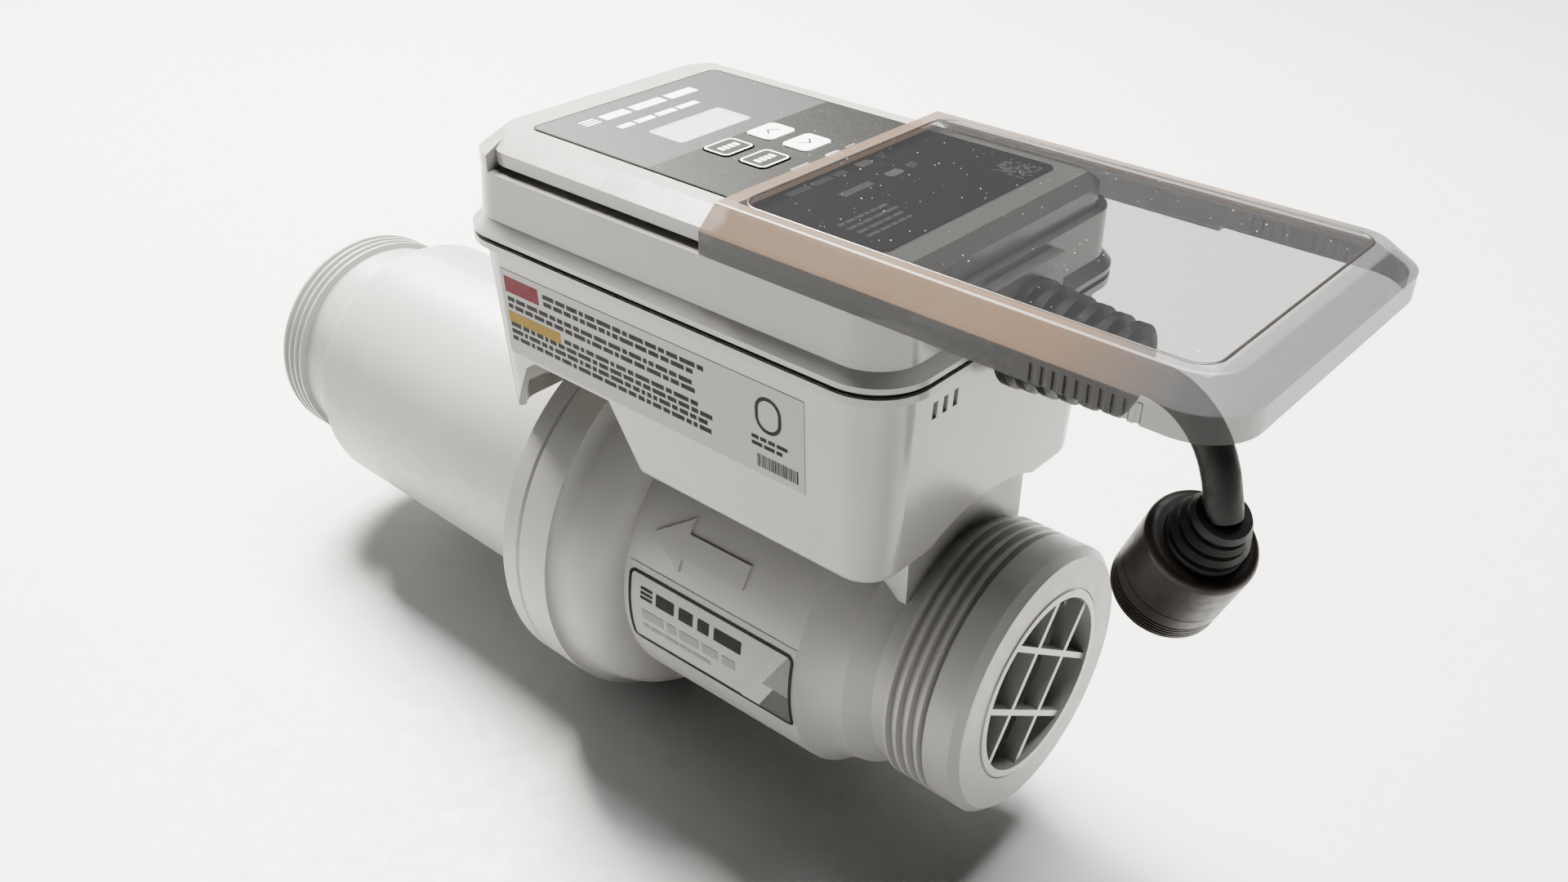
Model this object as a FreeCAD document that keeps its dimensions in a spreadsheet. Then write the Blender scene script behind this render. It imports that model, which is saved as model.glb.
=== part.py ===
import FreeCAD, Part
import math
import os
import re
import Sketcher
from FreeCAD import Placement, Rotation, Vector

# A salt chlorine generator: a clear-bore flow cell with union threads at both ends, and on top
# of it a sealed control housing with a sliding cover, a strain relief and a short power lead.
# The origin is the middle of the inlet's end face. The pipe axis is X, the outlet is towards -X,
# the side with the rating label faces -Y, and Z points up. Lengths are in millimetres.

SIZES = {
    # flow cell
    "pipe_length": 328, "thread_crest": 42, "thread_root": 40, "thread_pitch": 3.6,
    "thread_land": 10.8, "end_chamfer": 2.4, "inlet_thread_length": 28, "outlet_thread_length": 19,
    "bore_radius": 26.5, "chamber_radius": 45, "barrel_radius": 52, "outlet_barrel_radius": 50,
    "flange_radius": 67.5, "flange_seam": 150, "flange_front": 15, "flange_back": 8.5,
    "flange_foot": 32, "spigot_radius": 47.5, "spigot_length": 7, "spigot_clearance": 0.1,
    "inlet_taper_end": 62, "outlet_shoulder": 43, "saddle_radius": 54.5, "saddle_half_width": 28,
    "saddle_front": 29, "saddle_back": 112, "arrow_height": 0.5,
    # inlet grille
    "grille_radius": 30, "grille_wall": 2.7, "grille_depth": 8, "grille_cell": 17.3,
    "grille_bar": 1.8, "grille_bar_depth": 5, "grille_turn": 35, "grille_proud": 0.4,
    # electrode pack
    "plate_length": 96, "plate_height": 64, "plate_thickness": 1, "plate_pitch": 4,
    "plate_start": 66, "comb_width": 4, "comb_grip": 5,
    "terminal_radius": 2.5, "terminal_spread": 12, "terminal_front": 80, "terminal_step": 18,
    "seal_radius": 5,
    # flow switch and temperature probe
    "switch_place": 46, "switch_radius": 7.5, "pin_height": 27, "pin_radius": 1.5,
    "pin_clearance": 0.05, "hub_radius": 3, "fork_gap": 10, "paddle_width": 16,
    "paddle_length": 29, "paddle_thickness": 1.2, "probe_place": 60, "probe_offset": 16,
    "probe_radius": 3,
    # housing outline
    "housing_front": 22, "housing_back": 176, "housing_half_width": 52.5, "housing_corner": 13,
    "tub_draft": 2.5, "tub_back_draft": 5, "tub_bottom": 48, "tub_wall": 2.6, "floor_level": 57.5,
    "floor_thickness": 2.5, "notch_top": 69, "notch_clearance": 1.5, "lip_overhang": 3.5,
    "rim_bottom": 103, "rim_top": 107, "gasket_thickness": 1.5, "gasket_inset": 1.2,
    "scallop_radius": 55.5, "screw_front": 50, "screw_step": 39, "screw_spread": 18,
    "screw_radius": 2, "screw_boss": 4.5, "vent_width": 2, "vent_height": 5, "vent_level": 96,
    "vent_place": 31, "vent_pitch": 4.4,
    # lid
    "lid_flare": 3, "ledge_level": 126.5, "rail_level": 128.5, "chamfer_level": 132.4,
    "lid_top": 136, "lid_wall": 2.5, "rail_inset": 3, "slot_inset": 5, "deep_slot_inset": 6.5,
    "deep_slot_end": 67.4, "rail_front": 24.2, "step_length": 11.4, "chamfer_width": 6.5,
    "chamfer_front": 3.5, "boss_front": 17.5, "boss_half_width": 16, "boss_top": 124.5,
    # control panel
    "film_thickness": 0.4, "film_front": 35.3, "film_back": 162, "film_half_width": 37.5,
    "window_front": 121.5, "window_back": 135.2, "window_near": 17.5, "window_far": 11.5,
    "key_long": 12, "key_short": 9.6, "key_front_row": 96, "key_back_row": 109.3,
    "key_near": 11.6, "key_far": 5.9, "key_gap": 0.3, "key_proud": 0.4, "key_travel": 0.5,
    "key_skirt": 1, "key_bottom": 132, "key_skirt_height": 1.1, "light_row": 4.5,
    "light_first": 64.6, "light_pitch": 10.2, "light_long": 6, "light_short": 3.2,
    "board_thickness": 1.6, "board_level": 126.6, "board_front": 33, "board_back": 158,
    "board_half_width": 41, "board_post": 3.5, "board_screw": 1.25, "power_board_level": 72,
    "power_board_front": 37, "power_board_back": 165, "power_board_half_width": 42,
    # sliding cover
    "cover_front": 60.3, "cover_back": 81, "cover_half_width": 52.8, "cover_wall": 1.9,
    "cover_top": 139, "cover_crease": 133.4, "cover_chamfer": 6.3, "cover_bottom": 127,
    "cover_corner": 14, "lip_end": 8, "lip_reach": 4.8, "lip_thickness": 1.2, "hook_reach": 6.3,
    "hook_length": 8, "grip_first": 15.3, "grip_pitch": 2.75, "grip_width": 1.3, "grip_depth": 0.6,
    # labels
    "label_thickness": 0.2, "side_label_front": 46.5, "side_label_back": 163,
    "side_label_low": 70, "side_label_high": 98, "body_label_front": 50, "body_label_back": 116,
    "body_label_turn": 31, "body_label_start": 73.5,
    # strain relief, cable and plug
    "cable_level": 107.5, "gland_hole": 11, "gland_flange": 14.5, "gland_end": 14,
    "gland_tip": 9.4, "gland_neck": 12, "rib_pitch": 5.6, "rib_depth": 2, "cable_radius": 4.7,
    "plug_radius": 14.7, "plug_length": 28, "ring_length": 11, "ring_wall": 2.4,
    "ring_clearance": 0.08, "nose_radius": 11, "nose_length": 5, "nose_wall": 2,
    "boot_length": 12, "boot_tip": 7, "boot_foot": 10.5, "prong_radius": 1.5, "prong_length": 9,
}

THREAD_TURNS = 4
PLATE_COUNT = 13
GRIP_COUNT = 10
RIB_COUNT = 5
# Route of the lead's middle line, from the housing through the strain relief to the plug's boot.
CABLE_ROUTE = (
    (-17.5, 0, 107.5), (-8.5, 0, 107.7), (3, 0, 107.6), (13, 0, 107.7), (21.6, 0, 107.2),
    (29.4, -0.8, 104.6), (36.4, -2, 98.9), (41.5, -3, 89.6), (43.25, -2.9, 80.4),
)
PLUG_SEAT = Vector(38.8, 0, 70.3)
PLUG_AXIS = Vector(-0.38, 0.24, -0.89)

doc = FreeCAD.newDocument("chlorine_generator")
sheet = doc.addObject("Spreadsheet::Sheet", "sizes")
nodes = []


def fill_sheet():
    """Write each size in a row of its own: its name, and its value under an alias."""
    for row, (name, number) in enumerate(SIZES.items(), start=1):
        sheet.set("A%d" % row, name)
        sheet.set("B%d" % row, str(number))
        sheet.setAlias("B%d" % row, name)
    doc.recompute()


def value(text):
    """The number that an expression on the sheet's names gives."""
    return float(sheet.evalExpression(text))


def bound(text):
    """The same expression, as another object of the document writes it."""
    return re.sub(r"[a-z_]+", lambda word: prefixed(word.group()), text)


def prefixed(word):
    """A size's name with the sheet's name before it. Any other word stays as it is."""
    return "sizes." + word if word in SIZES else word


def origin_plane(body, role):
    """One of a body's own origin planes."""
    return next(item for item in body.Origin.OriginFeatures if item.Role == role)


def arc_between(start, finish, radius, side):
    """The short arc between two corners, which bulges to the left for side 1, else to the right."""
    chord = finish - start
    across = Vector(-chord.y, chord.x, 0).normalize()
    rise = math.sqrt(max(radius * radius - chord.Length ** 2 / 4, 0))
    centre = (start + finish) * 0.5 - across * (rise * side)
    first, last = (finish, start) if side > 0 else (start, finish)
    begin = math.atan2(first.y - centre.y, first.x - centre.x)
    end = math.atan2(last.y - centre.y, last.x - centre.x)
    return Part.ArcOfCircle(Part.Circle(centre, Vector(0, 0, 1), radius), begin, end)


def draw_outline(profile, outline):
    """Add one closed outline to a sketch, every corner held by the sheet.

    A corner is (across, up), and (across, up, radius, side) where the edge that arrives at it
    is an arc.
    """
    corners = [Vector(value(corner[0]), value(corner[1]), 0) for corner in outline]
    ends = []
    for number, corner in enumerate(outline):
        start, finish = corners[number - 1], corners[number]
        if len(corner) == 2:
            ends.append((profile.addGeometry(Part.LineSegment(start, finish)), 1, 2))
            continue
        arc = arc_between(start, finish, value(corner[2]), corner[3])
        index = profile.addGeometry(arc)
        ends.append((index, 2, 1) if corner[3] > 0 else (index, 1, 2))
        rule = profile.addConstraint(Sketcher.Constraint("Radius", index, value(corner[2])))
        profile.setExpression("Constraints[%d]" % rule, bound(corner[2]))
    for number, corner in enumerate(outline):
        index, _, finish = ends[number]
        following, start, _ = ends[(number + 1) % len(ends)]
        profile.addConstraint(Sketcher.Constraint("Coincident", index, finish, following, start))
        for kind, text in (("DistanceX", corner[0]), ("DistanceY", corner[1])):
            rule = profile.addConstraint(Sketcher.Constraint(kind, index, finish, value(text)))
            profile.setExpression("Constraints[%d]" % rule, bound(text))


def sketch(body, name, role, outlines, offset=("0", "0", "0"), turn="0"):
    """A sketch of closed outlines on an origin plane, moved and turned within that plane."""
    profile = body.newObject("Sketcher::SketchObject", name)
    profile.AttachmentSupport = [(origin_plane(body, role), "")]
    profile.MapMode = "FlatFace"
    for axis, text in zip("xyz", offset):
        profile.setExpression("AttachmentOffset.Base." + axis, bound(text))
    profile.setExpression("AttachmentOffset.Rotation.Angle", bound(turn))
    for outline in outlines:
        draw_outline(profile, outline)
    return profile


def new_body(label):
    """An empty body. Its label becomes the name of its file."""
    body = doc.addObject("PartDesign::Body", label)
    body.Label = label
    return body


def pad(body, name, role, outlines, start, length, turn="0"):
    """Material from `start` along the plane's normal, over `length`."""
    feature = body.newObject("PartDesign::Pad", name)
    feature.Profile = sketch(body, name + "_sketch", role, outlines, ("0", "0", start), turn)
    feature.setExpression("Length", bound(length))
    return feature


def pocket(body, name, role, outlines, start, length):
    """A cut from `start` along the plane's normal, over `length`. It has to remove something."""
    doc.recompute()
    before = body.Shape.Volume
    feature = body.newObject("PartDesign::Pocket", name)
    feature.Profile = sketch(body, name + "_sketch", role, outlines, ("0", "0", start))
    feature.Reversed = True
    feature.setExpression("Length", bound(length))
    doc.recompute()
    if not body.Shape.Volume < before:
        raise RuntimeError(name + " cuts nothing")
    return feature


def turned(body, name, outline, level="0", kind="PartDesign::Revolution"):
    """An outline of (along X, radius) turned about the line at height `level` above the axis."""
    profile = sketch(body, name + "_sketch", "XZ_Plane", [outline], ("0", level, "0"))
    feature = body.newObject(kind, name)
    feature.Profile = profile
    feature.ReferenceAxis = (profile, ["H_Axis"])
    feature.Angle = 360
    return feature


def loft(body, name, low, high, kind="PartDesign::AdditiveLoft"):
    """A straight-sided loft between two outlines, each with its own height: (outline, level)."""
    first = sketch(body, name + "_low", "XY_Plane", [low[0]], ("0", "0", low[1]))
    second = sketch(body, name + "_high", "XY_Plane", [high[0]], ("0", "0", high[1]))
    feature = body.newObject(kind, name)
    feature.Profile = first
    feature.Sections = [second]
    feature.Ruled = True
    return feature


def round_edges(body, name, radius, wanted):
    """A fillet on each edge of the body whose middle point passes the test."""
    doc.recompute()
    base = body.Tip
    edges = [
        "Edge%d" % number
        for number, edge in enumerate(base.Shape.Edges, start=1)
        if wanted(edge.valueAt((edge.FirstParameter + edge.LastParameter) / 2), edge)
    ]
    feature = body.newObject("PartDesign::Fillet", name)
    feature.Base = (base, edges)
    feature.setExpression("Radius", bound(radius))
    return feature


def box_outline(low_x, high_x, low_y, high_y):
    """A plain rectangle."""
    return [(low_x, low_y), (high_x, low_y), (high_x, high_y), (low_x, high_y)]


def rounded_outline(low_x, high_x, low_y, high_y, radius, square_back=False):
    """A rectangle with round corners, or with round corners at its +X end only."""
    front = [
        ("%s - (%s)" % (high_x, radius), low_y),
        (high_x, "%s + (%s)" % (low_y, radius), radius, -1),
        (high_x, "%s - (%s)" % (high_y, radius)),
        ("%s - (%s)" % (high_x, radius), high_y, radius, -1),
    ]
    if square_back:
        return [(low_x, low_y)] + front + [(low_x, high_y)]
    back = [
        ("%s + (%s)" % (low_x, radius), high_y),
        (low_x, "%s - (%s)" % (high_y, radius), radius, -1),
        (low_x, "%s + (%s)" % (low_y, radius)),
        ("%s + (%s)" % (low_x, radius), low_y, radius, -1),
    ]
    return front + back


def centred_outline(x, y, long_x, long_y, radius):
    """A round-cornered rectangle about a point."""
    return rounded_outline(
        "%s - (%s) / 2" % (x, long_x), "%s + (%s) / 2" % (x, long_x),
        "%s - (%s) / 2" % (y, long_y), "%s + (%s) / 2" % (y, long_y), radius)


def cylinder(name, x, y, z, radius, height, along=Vector(0, 0, 1)):
    """A cylinder from a point, along +Z or another direction."""
    piece = doc.addObject("Part::Cylinder", name)
    piece.setExpression("Radius", bound(radius))
    piece.setExpression("Height", bound(height))
    piece.Placement = Placement(
        Vector(value(x), value(y), value(z)), Rotation(Vector(0, 0, 1), along))
    for axis, text in zip("xyz", (x, y, z)):
        piece.setExpression("Placement.Base." + axis, bound(text))
    return piece


def block(name, low, high):
    """A box between two corners of expressions."""
    piece = doc.addObject("Part::Box", name)
    for axis, side, start, end in zip("xyz", ("Length", "Width", "Height"), low, high):
        piece.setExpression(side, bound("(%s) - (%s)" % (end, start)))
        piece.setExpression("Placement.Base." + axis, bound(start))
    return piece


def fused(label, pieces):
    """One solid of several pieces."""
    piece = doc.addObject("Part::MultiFuse", label)
    piece.Shapes = pieces
    piece.Label = label
    return piece


def grouped(label, pieces):
    """Several separate solids under one name."""
    piece = doc.addObject("Part::Compound", label)
    piece.Links = pieces
    piece.Label = label
    return piece


def cut(label, base, tool):
    """What is left of `base` outside `tool`."""
    piece = doc.addObject("Part::Cut", label)
    piece.Base = base
    piece.Tool = tool
    piece.Label = label
    return piece


def common(label, base, tool):
    """What `base` and `tool` share."""
    piece = doc.addObject("Part::Common", label)
    piece.Base = base
    piece.Tool = tool
    piece.Label = label
    return piece


def keep(piece):
    """Note that an object is a finished sub-part."""
    nodes.append(piece)
    return piece


def thread_corners(first, towards):
    """The crests of a union thread, from `first` in the direction `towards` along X."""
    corners = []
    for turn in range(THREAD_TURNS):
        start = "%s + (%s) * thread_pitch * %d" % (first, towards, turn)
        for share, radius in ((0.1, "thread_root"), (0.3, "thread_crest"),
                              (0.6, "thread_crest"), (0.8, "thread_root")):
            corners.append(("%s + (%s) * thread_pitch * %s" % (start, towards, share), radius))
    return corners


def make_inlet_body():
    """Inlet half of the cell: union thread, shoulder, barrel, half flange, saddle and arrow."""
    body = new_body("inlet_barrel")
    outer = [("0", "0"), ("0", "thread_crest - end_chamfer"), ("-end_chamfer", "thread_crest")]
    outer += [("-thread_land", "thread_crest"), ("-thread_land - 0.8", "thread_root")]
    outer += thread_corners("-thread_land - 0.8", "-1")
    outer += [
        ("-inlet_thread_length - 2", "thread_root"),
        ("-inlet_thread_length - 9", "barrel_radius - 7.5"),
        ("-body_label_front", "barrel_radius - 1.2", "22", 1),
        ("-flange_seam + flange_foot", "barrel_radius"),
        ("-flange_seam + flange_front + 2", "flange_radius - 4", "16", -1),
        ("-flange_seam + flange_front - 2", "flange_radius", "5", 1),
        ("-flange_seam + 0.8", "flange_radius"),
        ("-flange_seam", "flange_radius - 0.8"),
        ("-flange_seam", "0"),
    ]
    turned(body, "inlet_outside", outer)
    saddle = [
        ("-saddle_half_width", "chamber_radius - 15"),
        ("saddle_half_width", "chamber_radius - 15"),
        ("saddle_half_width", "sqrt(saddle_radius ^ 2 - saddle_half_width ^ 2)"),
        ("-saddle_half_width", "sqrt(saddle_radius ^ 2 - saddle_half_width ^ 2)",
         "saddle_radius", -1),
    ]
    pad(body, "saddle", "YZ_Plane", [saddle], "-saddle_back", "saddle_back - saddle_front")
    inside = [
        ("1", "0"), ("1", "grille_radius + 0.1"), ("-grille_depth", "grille_radius + 0.1"),
        ("-grille_depth", "bore_radius"), ("-inlet_thread_length - 2", "bore_radius"),
        ("-inlet_taper_end", "chamber_radius"),
        ("-flange_seam + spigot_length", "chamber_radius"),
        ("-flange_seam + spigot_length", "spigot_radius + spigot_clearance"),
        ("-flange_seam - 1", "spigot_radius + spigot_clearance"), ("-flange_seam - 1", "0"),
    ]
    turned(body, "inlet_inside", inside, kind="PartDesign::Groove")
    holes = [cylinder("switch_hole", "-switch_place", "0", "0", "switch_radius", "70")]
    holes.append(cylinder("probe_hole", "-probe_place", "probe_offset", "0", "probe_radius", "70"))
    for step in (0, 1):
        for side in (-1, 1):
            holes.append(cylinder(
                "terminal_hole", "-terminal_front - terminal_step * %d" % step,
                "terminal_spread * %d" % side, "0", "seal_radius", "70"))
    drilled = cut("drilled_inlet", body, fused("inlet_holes", holes))
    posts = []
    pilots = []
    for x, y in screw_places():
        posts.append(cylinder(
            "saddle_post", x, y, "chamber_radius + 2", "screw_boss",
            "floor_level - chamber_radius - 2"))
        pilots.append(cylinder(
            "saddle_pilot", x, y, "floor_level - 9", "screw_radius", "10"))
    posted = fused("posted_inlet", [drilled] + posts + [make_arrow()])
    keep(cut("inlet_body", posted, fused("saddle_pilots", pilots)))


def screw_places():
    """Where the four screws that hold the tub on the saddle stand."""
    return [
        ("-screw_front - screw_step * %d" % step, "screw_spread * %d" % side)
        for step in (0, 1) for side in (-1, 1)
    ]


def make_arrow():
    """The raised flow arrow on the barrel's -Y side."""
    body = new_body("arrow_prism")
    outline = [
        ("-109.4", "25.8"), ("-97", "18.2"), ("-97", "22.4"), ("-73", "22.4"),
        ("-73", "29.2"), ("-97", "29.2"), ("-97", "33.4"),
    ]
    pad(body, "arrow_pad", "XZ_Plane", [outline], "barrel_radius - 20", "25")
    ring = new_body("arrow_ring")
    turned(ring, "arrow_skin", [
        ("-116", "barrel_radius - 3"), ("-116", "barrel_radius + arrow_height"),
        ("-68", "barrel_radius - 0.9 + arrow_height"), ("-68", "barrel_radius - 3"),
    ])
    return common("flow_arrow", body, ring)


def make_outlet_body():
    """Outlet half of the cell: half flange with a spigot, long barrel, shoulder and thread."""
    body = new_body("outlet_body")
    start = "-pipe_length + end_chamfer"
    outer = [
        ("-flange_seam + spigot_length - 0.1", "0"),
        ("-flange_seam + spigot_length - 0.1", "spigot_radius"),
        ("-flange_seam", "spigot_radius"),
        ("-flange_seam", "flange_radius - 0.8"),
        ("-flange_seam - 0.8", "flange_radius"),
        ("-flange_seam - flange_back + 1.5", "flange_radius"),
        ("-flange_seam - flange_back", "flange_radius - 1.5", "1.5", 1),
        ("-flange_seam - flange_back", "outlet_barrel_radius + 5"),
        ("-flange_seam - flange_back - 4", "outlet_barrel_radius + 0.3", "5", -1),
        ("-pipe_length + outlet_shoulder", "outlet_barrel_radius - 1"),
        ("-pipe_length + outlet_thread_length + 10", "thread_root", "15", 1),
        ("-pipe_length + outlet_thread_length + 1", "thread_root"),
    ]
    outer += reversed(thread_corners(start + " + 0.6", "1"))
    outer += [
        (start, "thread_root"), ("-pipe_length", "thread_root - 1.5"), ("-pipe_length", "0"),
    ]
    turned(body, "outlet_outside", outer)
    inside = [
        ("-flange_seam + spigot_length + 1", "0"),
        ("-flange_seam + spigot_length + 1", "chamber_radius"),
        ("-pipe_length + outlet_shoulder + 10", "chamber_radius"),
        ("-pipe_length + outlet_thread_length + 8", "bore_radius"),
        ("-pipe_length - 1", "bore_radius"), ("-pipe_length - 1", "0"),
    ]
    turned(body, "outlet_inside", inside, kind="PartDesign::Groove")
    keep(body)


def make_grille():
    """Ring with two pairs of crossed bars, pressed in the inlet's counterbore."""
    body = new_body("inlet_grille")
    turned(body, "grille_ring", [
        ("-grille_depth", "grille_radius - grille_wall"),
        ("grille_proud", "grille_radius - grille_wall"),
        ("grille_proud", "grille_radius - 0.6"), ("grille_proud - 0.6", "grille_radius"),
        ("-grille_depth", "grille_radius"),
    ])
    middle = "(grille_cell + grille_bar) / 2"
    reach = "sqrt((grille_radius - grille_wall / 2) ^ 2 - (%s) ^ 2)" % middle
    for number, turn in enumerate(("-grille_turn", "90 - grille_turn")):
        bars = [
            box_outline("-" + reach, reach, "%s - grille_bar / 2" % side, "%s + grille_bar / 2" % side)
            for side in ("-" + middle, middle)
        ]
        pad(body, "grille_bars_%d" % number, "YZ_Plane", bars, "-grille_bar_depth - 0.6",
            "grille_bar_depth", turn)
    keep(body)


def plate_blocks(name):
    """The stack of upright plates, as separate boxes."""
    plates = []
    for number in range(PLATE_COUNT):
        middle = "plate_pitch * %d" % (number - PLATE_COUNT // 2)
        plates.append(block(
            name, ("-plate_start - plate_length", middle + " - plate_thickness / 2",
                   "-plate_height / 2"),
            ("-plate_start", middle + " + plate_thickness / 2", "plate_height / 2")))
    return plates


def make_electrodes():
    """Plates, the combs that space them, their terminals and the terminals' seals."""
    keep(grouped("electrode_plates", plate_blocks("plate")))
    combs = []
    for start in ("-plate_start - comb_width - 2", "-plate_start - plate_length + 2"):
        disc = cylinder("comb_disc", start, "0", "0", "chamber_radius - 0.1", "comb_width",
                        Vector(1, 0, 0))
        middle = block("comb_middle", (start + " - 1", "-60", "comb_grip - plate_height / 2"),
                       (start + " + comb_width + 1", "60", "plate_height / 2 - comb_grip"))
        combs.append(cut("comb_sides", disc, middle))
    slots = fused("plate_slots", plate_blocks("plate_slot"))
    keep(cut("plate_combs", grouped("comb_blanks", combs), slots))
    rods = []
    seals = []
    for step in (0, 1):
        for side in (-1, 1):
            x = "-terminal_front - terminal_step * %d" % step
            y = "terminal_spread * %d" % side
            rods.append(cylinder("terminal", x, y, "plate_height / 2", "terminal_radius",
                                 "power_board_level - plate_height / 2"))
            outer = cylinder("seal_outer", x, y, "chamber_radius - 1", "seal_radius", "11")
            inner = cylinder("seal_inner", x, y, "chamber_radius - 2", "terminal_radius", "14")
            seals.append(cut("terminal_seal", outer, inner))
    keep(grouped("electrode_terminals", rods))
    keep(grouped("terminal_seals", seals))


def make_flow_switch():
    """Switch body with a fork, its pin, the hinged paddle and the temperature probe."""
    stem = cylinder("switch_stem", "-switch_place", "0", "pin_height + hub_radius + 1",
                    "switch_radius", "power_board_level - pin_height - hub_radius - 3")
    arms = []
    holes = cylinder("pin_hole", "-switch_place", "-switch_radius - 1", "pin_height", "pin_radius",
                     "switch_radius * 2 + 2", Vector(0, 1, 0))
    for side in ("-switch_radius", "fork_gap / 2"):
        arms.append(block(
            "fork_arm", ("-switch_place - hub_radius", side, "pin_height - hub_radius"),
            ("-switch_place + hub_radius", side + " + switch_radius - fork_gap / 2",
             "pin_height + hub_radius + 4")))
    keep(cut("flow_switch_body", fused("switch_blank", [stem] + arms), holes))
    keep(grouped("paddle_pin", [cylinder(
        "pin", "-switch_place", "-switch_radius", "pin_height", "pin_radius", "switch_radius * 2",
        Vector(0, 1, 0))]))
    hub = cylinder("paddle_hub", "-switch_place", "-fork_gap / 2 + 0.3", "pin_height", "hub_radius",
                   "fork_gap - 0.6", Vector(0, 1, 0))
    stalk = block("paddle_stalk", ("-switch_place - paddle_thickness", "-3", "pin_height - 8"),
                  ("-switch_place + paddle_thickness", "3", "pin_height"))
    blade = block(
        "paddle_blade",
        ("-switch_place - paddle_thickness / 2", "-paddle_width / 2", "pin_height - paddle_length"),
        ("-switch_place + paddle_thickness / 2", "paddle_width / 2", "pin_height - hub_radius - 2"))
    bore = cylinder("paddle_bore", "-switch_place", "-fork_gap", "pin_height",
                    "pin_radius + pin_clearance", "fork_gap * 2", Vector(0, 1, 0))
    keep(cut("flow_paddle", fused("paddle_blank", [hub, stalk, blade]), bore))
    keep(grouped("temperature_probe", [cylinder(
        "probe", "-probe_place", "probe_offset", "pin_height + 3", "probe_radius",
        "power_board_level - pin_height - 5")]))


def housing_outline(grow, back_shift="0", front_shift="0"):
    """The housing's plan outline, `grow` outside its nominal wall."""
    return rounded_outline(
        "-housing_back - (%s) - (%s)" % (grow, back_shift),
        "-housing_front + (%s) + (%s)" % (grow, front_shift),
        "-housing_half_width - (%s)" % grow, "housing_half_width + (%s)" % grow,
        "housing_corner + (%s)" % grow)


def make_tub():
    """Open-topped tub astride the cell, with an arched floor over the flange."""
    wall = new_body("tub_outside")
    low = housing_outline("-tub_draft", "-tub_back_draft + tub_draft")
    loft(wall, "tub_skin", (low, "tub_bottom"), (housing_outline("0"), "rim_bottom"))
    loft(wall, "tub_flare", (housing_outline("0"), "rim_bottom"),
         (housing_outline("lip_overhang"), "rim_bottom + 2"))
    pad(wall, "tub_lip", "XY_Plane", [housing_outline("lip_overhang")], "rim_bottom + 2",
        "rim_top - rim_bottom - 2")
    round_edges(wall, "tub_edge", "2.5",
                lambda point, edge: abs(point.z - value("tub_bottom")) < 0.01)
    hollow = new_body("tub_inside")
    inner_low = housing_outline("-tub_draft - tub_wall", "-tub_back_draft + tub_draft")
    loft(hollow, "tub_hollow", (inner_low, "tub_bottom - 0.01"),
         (housing_outline("-tub_wall"), "rim_top + 0.01"))
    strip = new_body("floor_strip")
    under = floor_line("0")
    over = [(x, z) for x, z in reversed(floor_line("floor_thickness"))]
    pad(strip, "floor_pad", "XZ_Plane", [under + over], "-housing_half_width + 2",
        "housing_half_width * 2 - 4")
    plug = new_body("floor_limit")
    loft(plug, "floor_limit_skin",
         (housing_outline("-tub_draft - tub_wall + 0.4", "-tub_back_draft + tub_draft"),
          "tub_bottom"),
         (housing_outline("-tub_wall + 0.4"), "rim_top"))
    floor = common("tub_floor", plug, strip)
    shell = cut("tub_shell", wall, hollow)
    posts = [
        cylinder("power_post", x, y, "floor_level + 1", "screw_boss",
                 "power_board_level - floor_level - 1")
        for x, y in power_board_places()
    ]
    whole = fused("tub_whole", [shell, floor] + posts)
    keep(cut("housing_tub", whole, fused("tub_cuts", tub_cuts())))


def floor_line(lift):
    """The floor's side view from -X to +X, raised by `lift`: flat, up over the flange, and flat."""
    middle = "-flange_seam + (flange_front - flange_back) / 2"
    half = "(flange_front + flange_back) / 2 + notch_clearance"
    flat = "floor_level + " + lift
    peak = "notch_top + " + lift
    return [
        ("-housing_back - 5", flat),
        ("%s - %s - 6 - (%s) / 2" % (middle, half, lift), flat),
        ("%s - %s - (%s) / 2" % (middle, half, lift), peak),
        ("%s + %s + 13 + (%s) / 2" % (middle, half, lift), peak),
        ("%s + %s + 20 + (%s) / 2" % (middle, half, lift), flat),
        ("-housing_front + 5", flat),
    ]


def power_board_places():
    """Where the four posts under the power board stand."""
    return [
        (x, y) for x in ("-power_board_front - 7", "-power_board_back + 7")
        for y in ("-power_board_half_width + 5", "power_board_half_width - 5")
    ]


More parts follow.
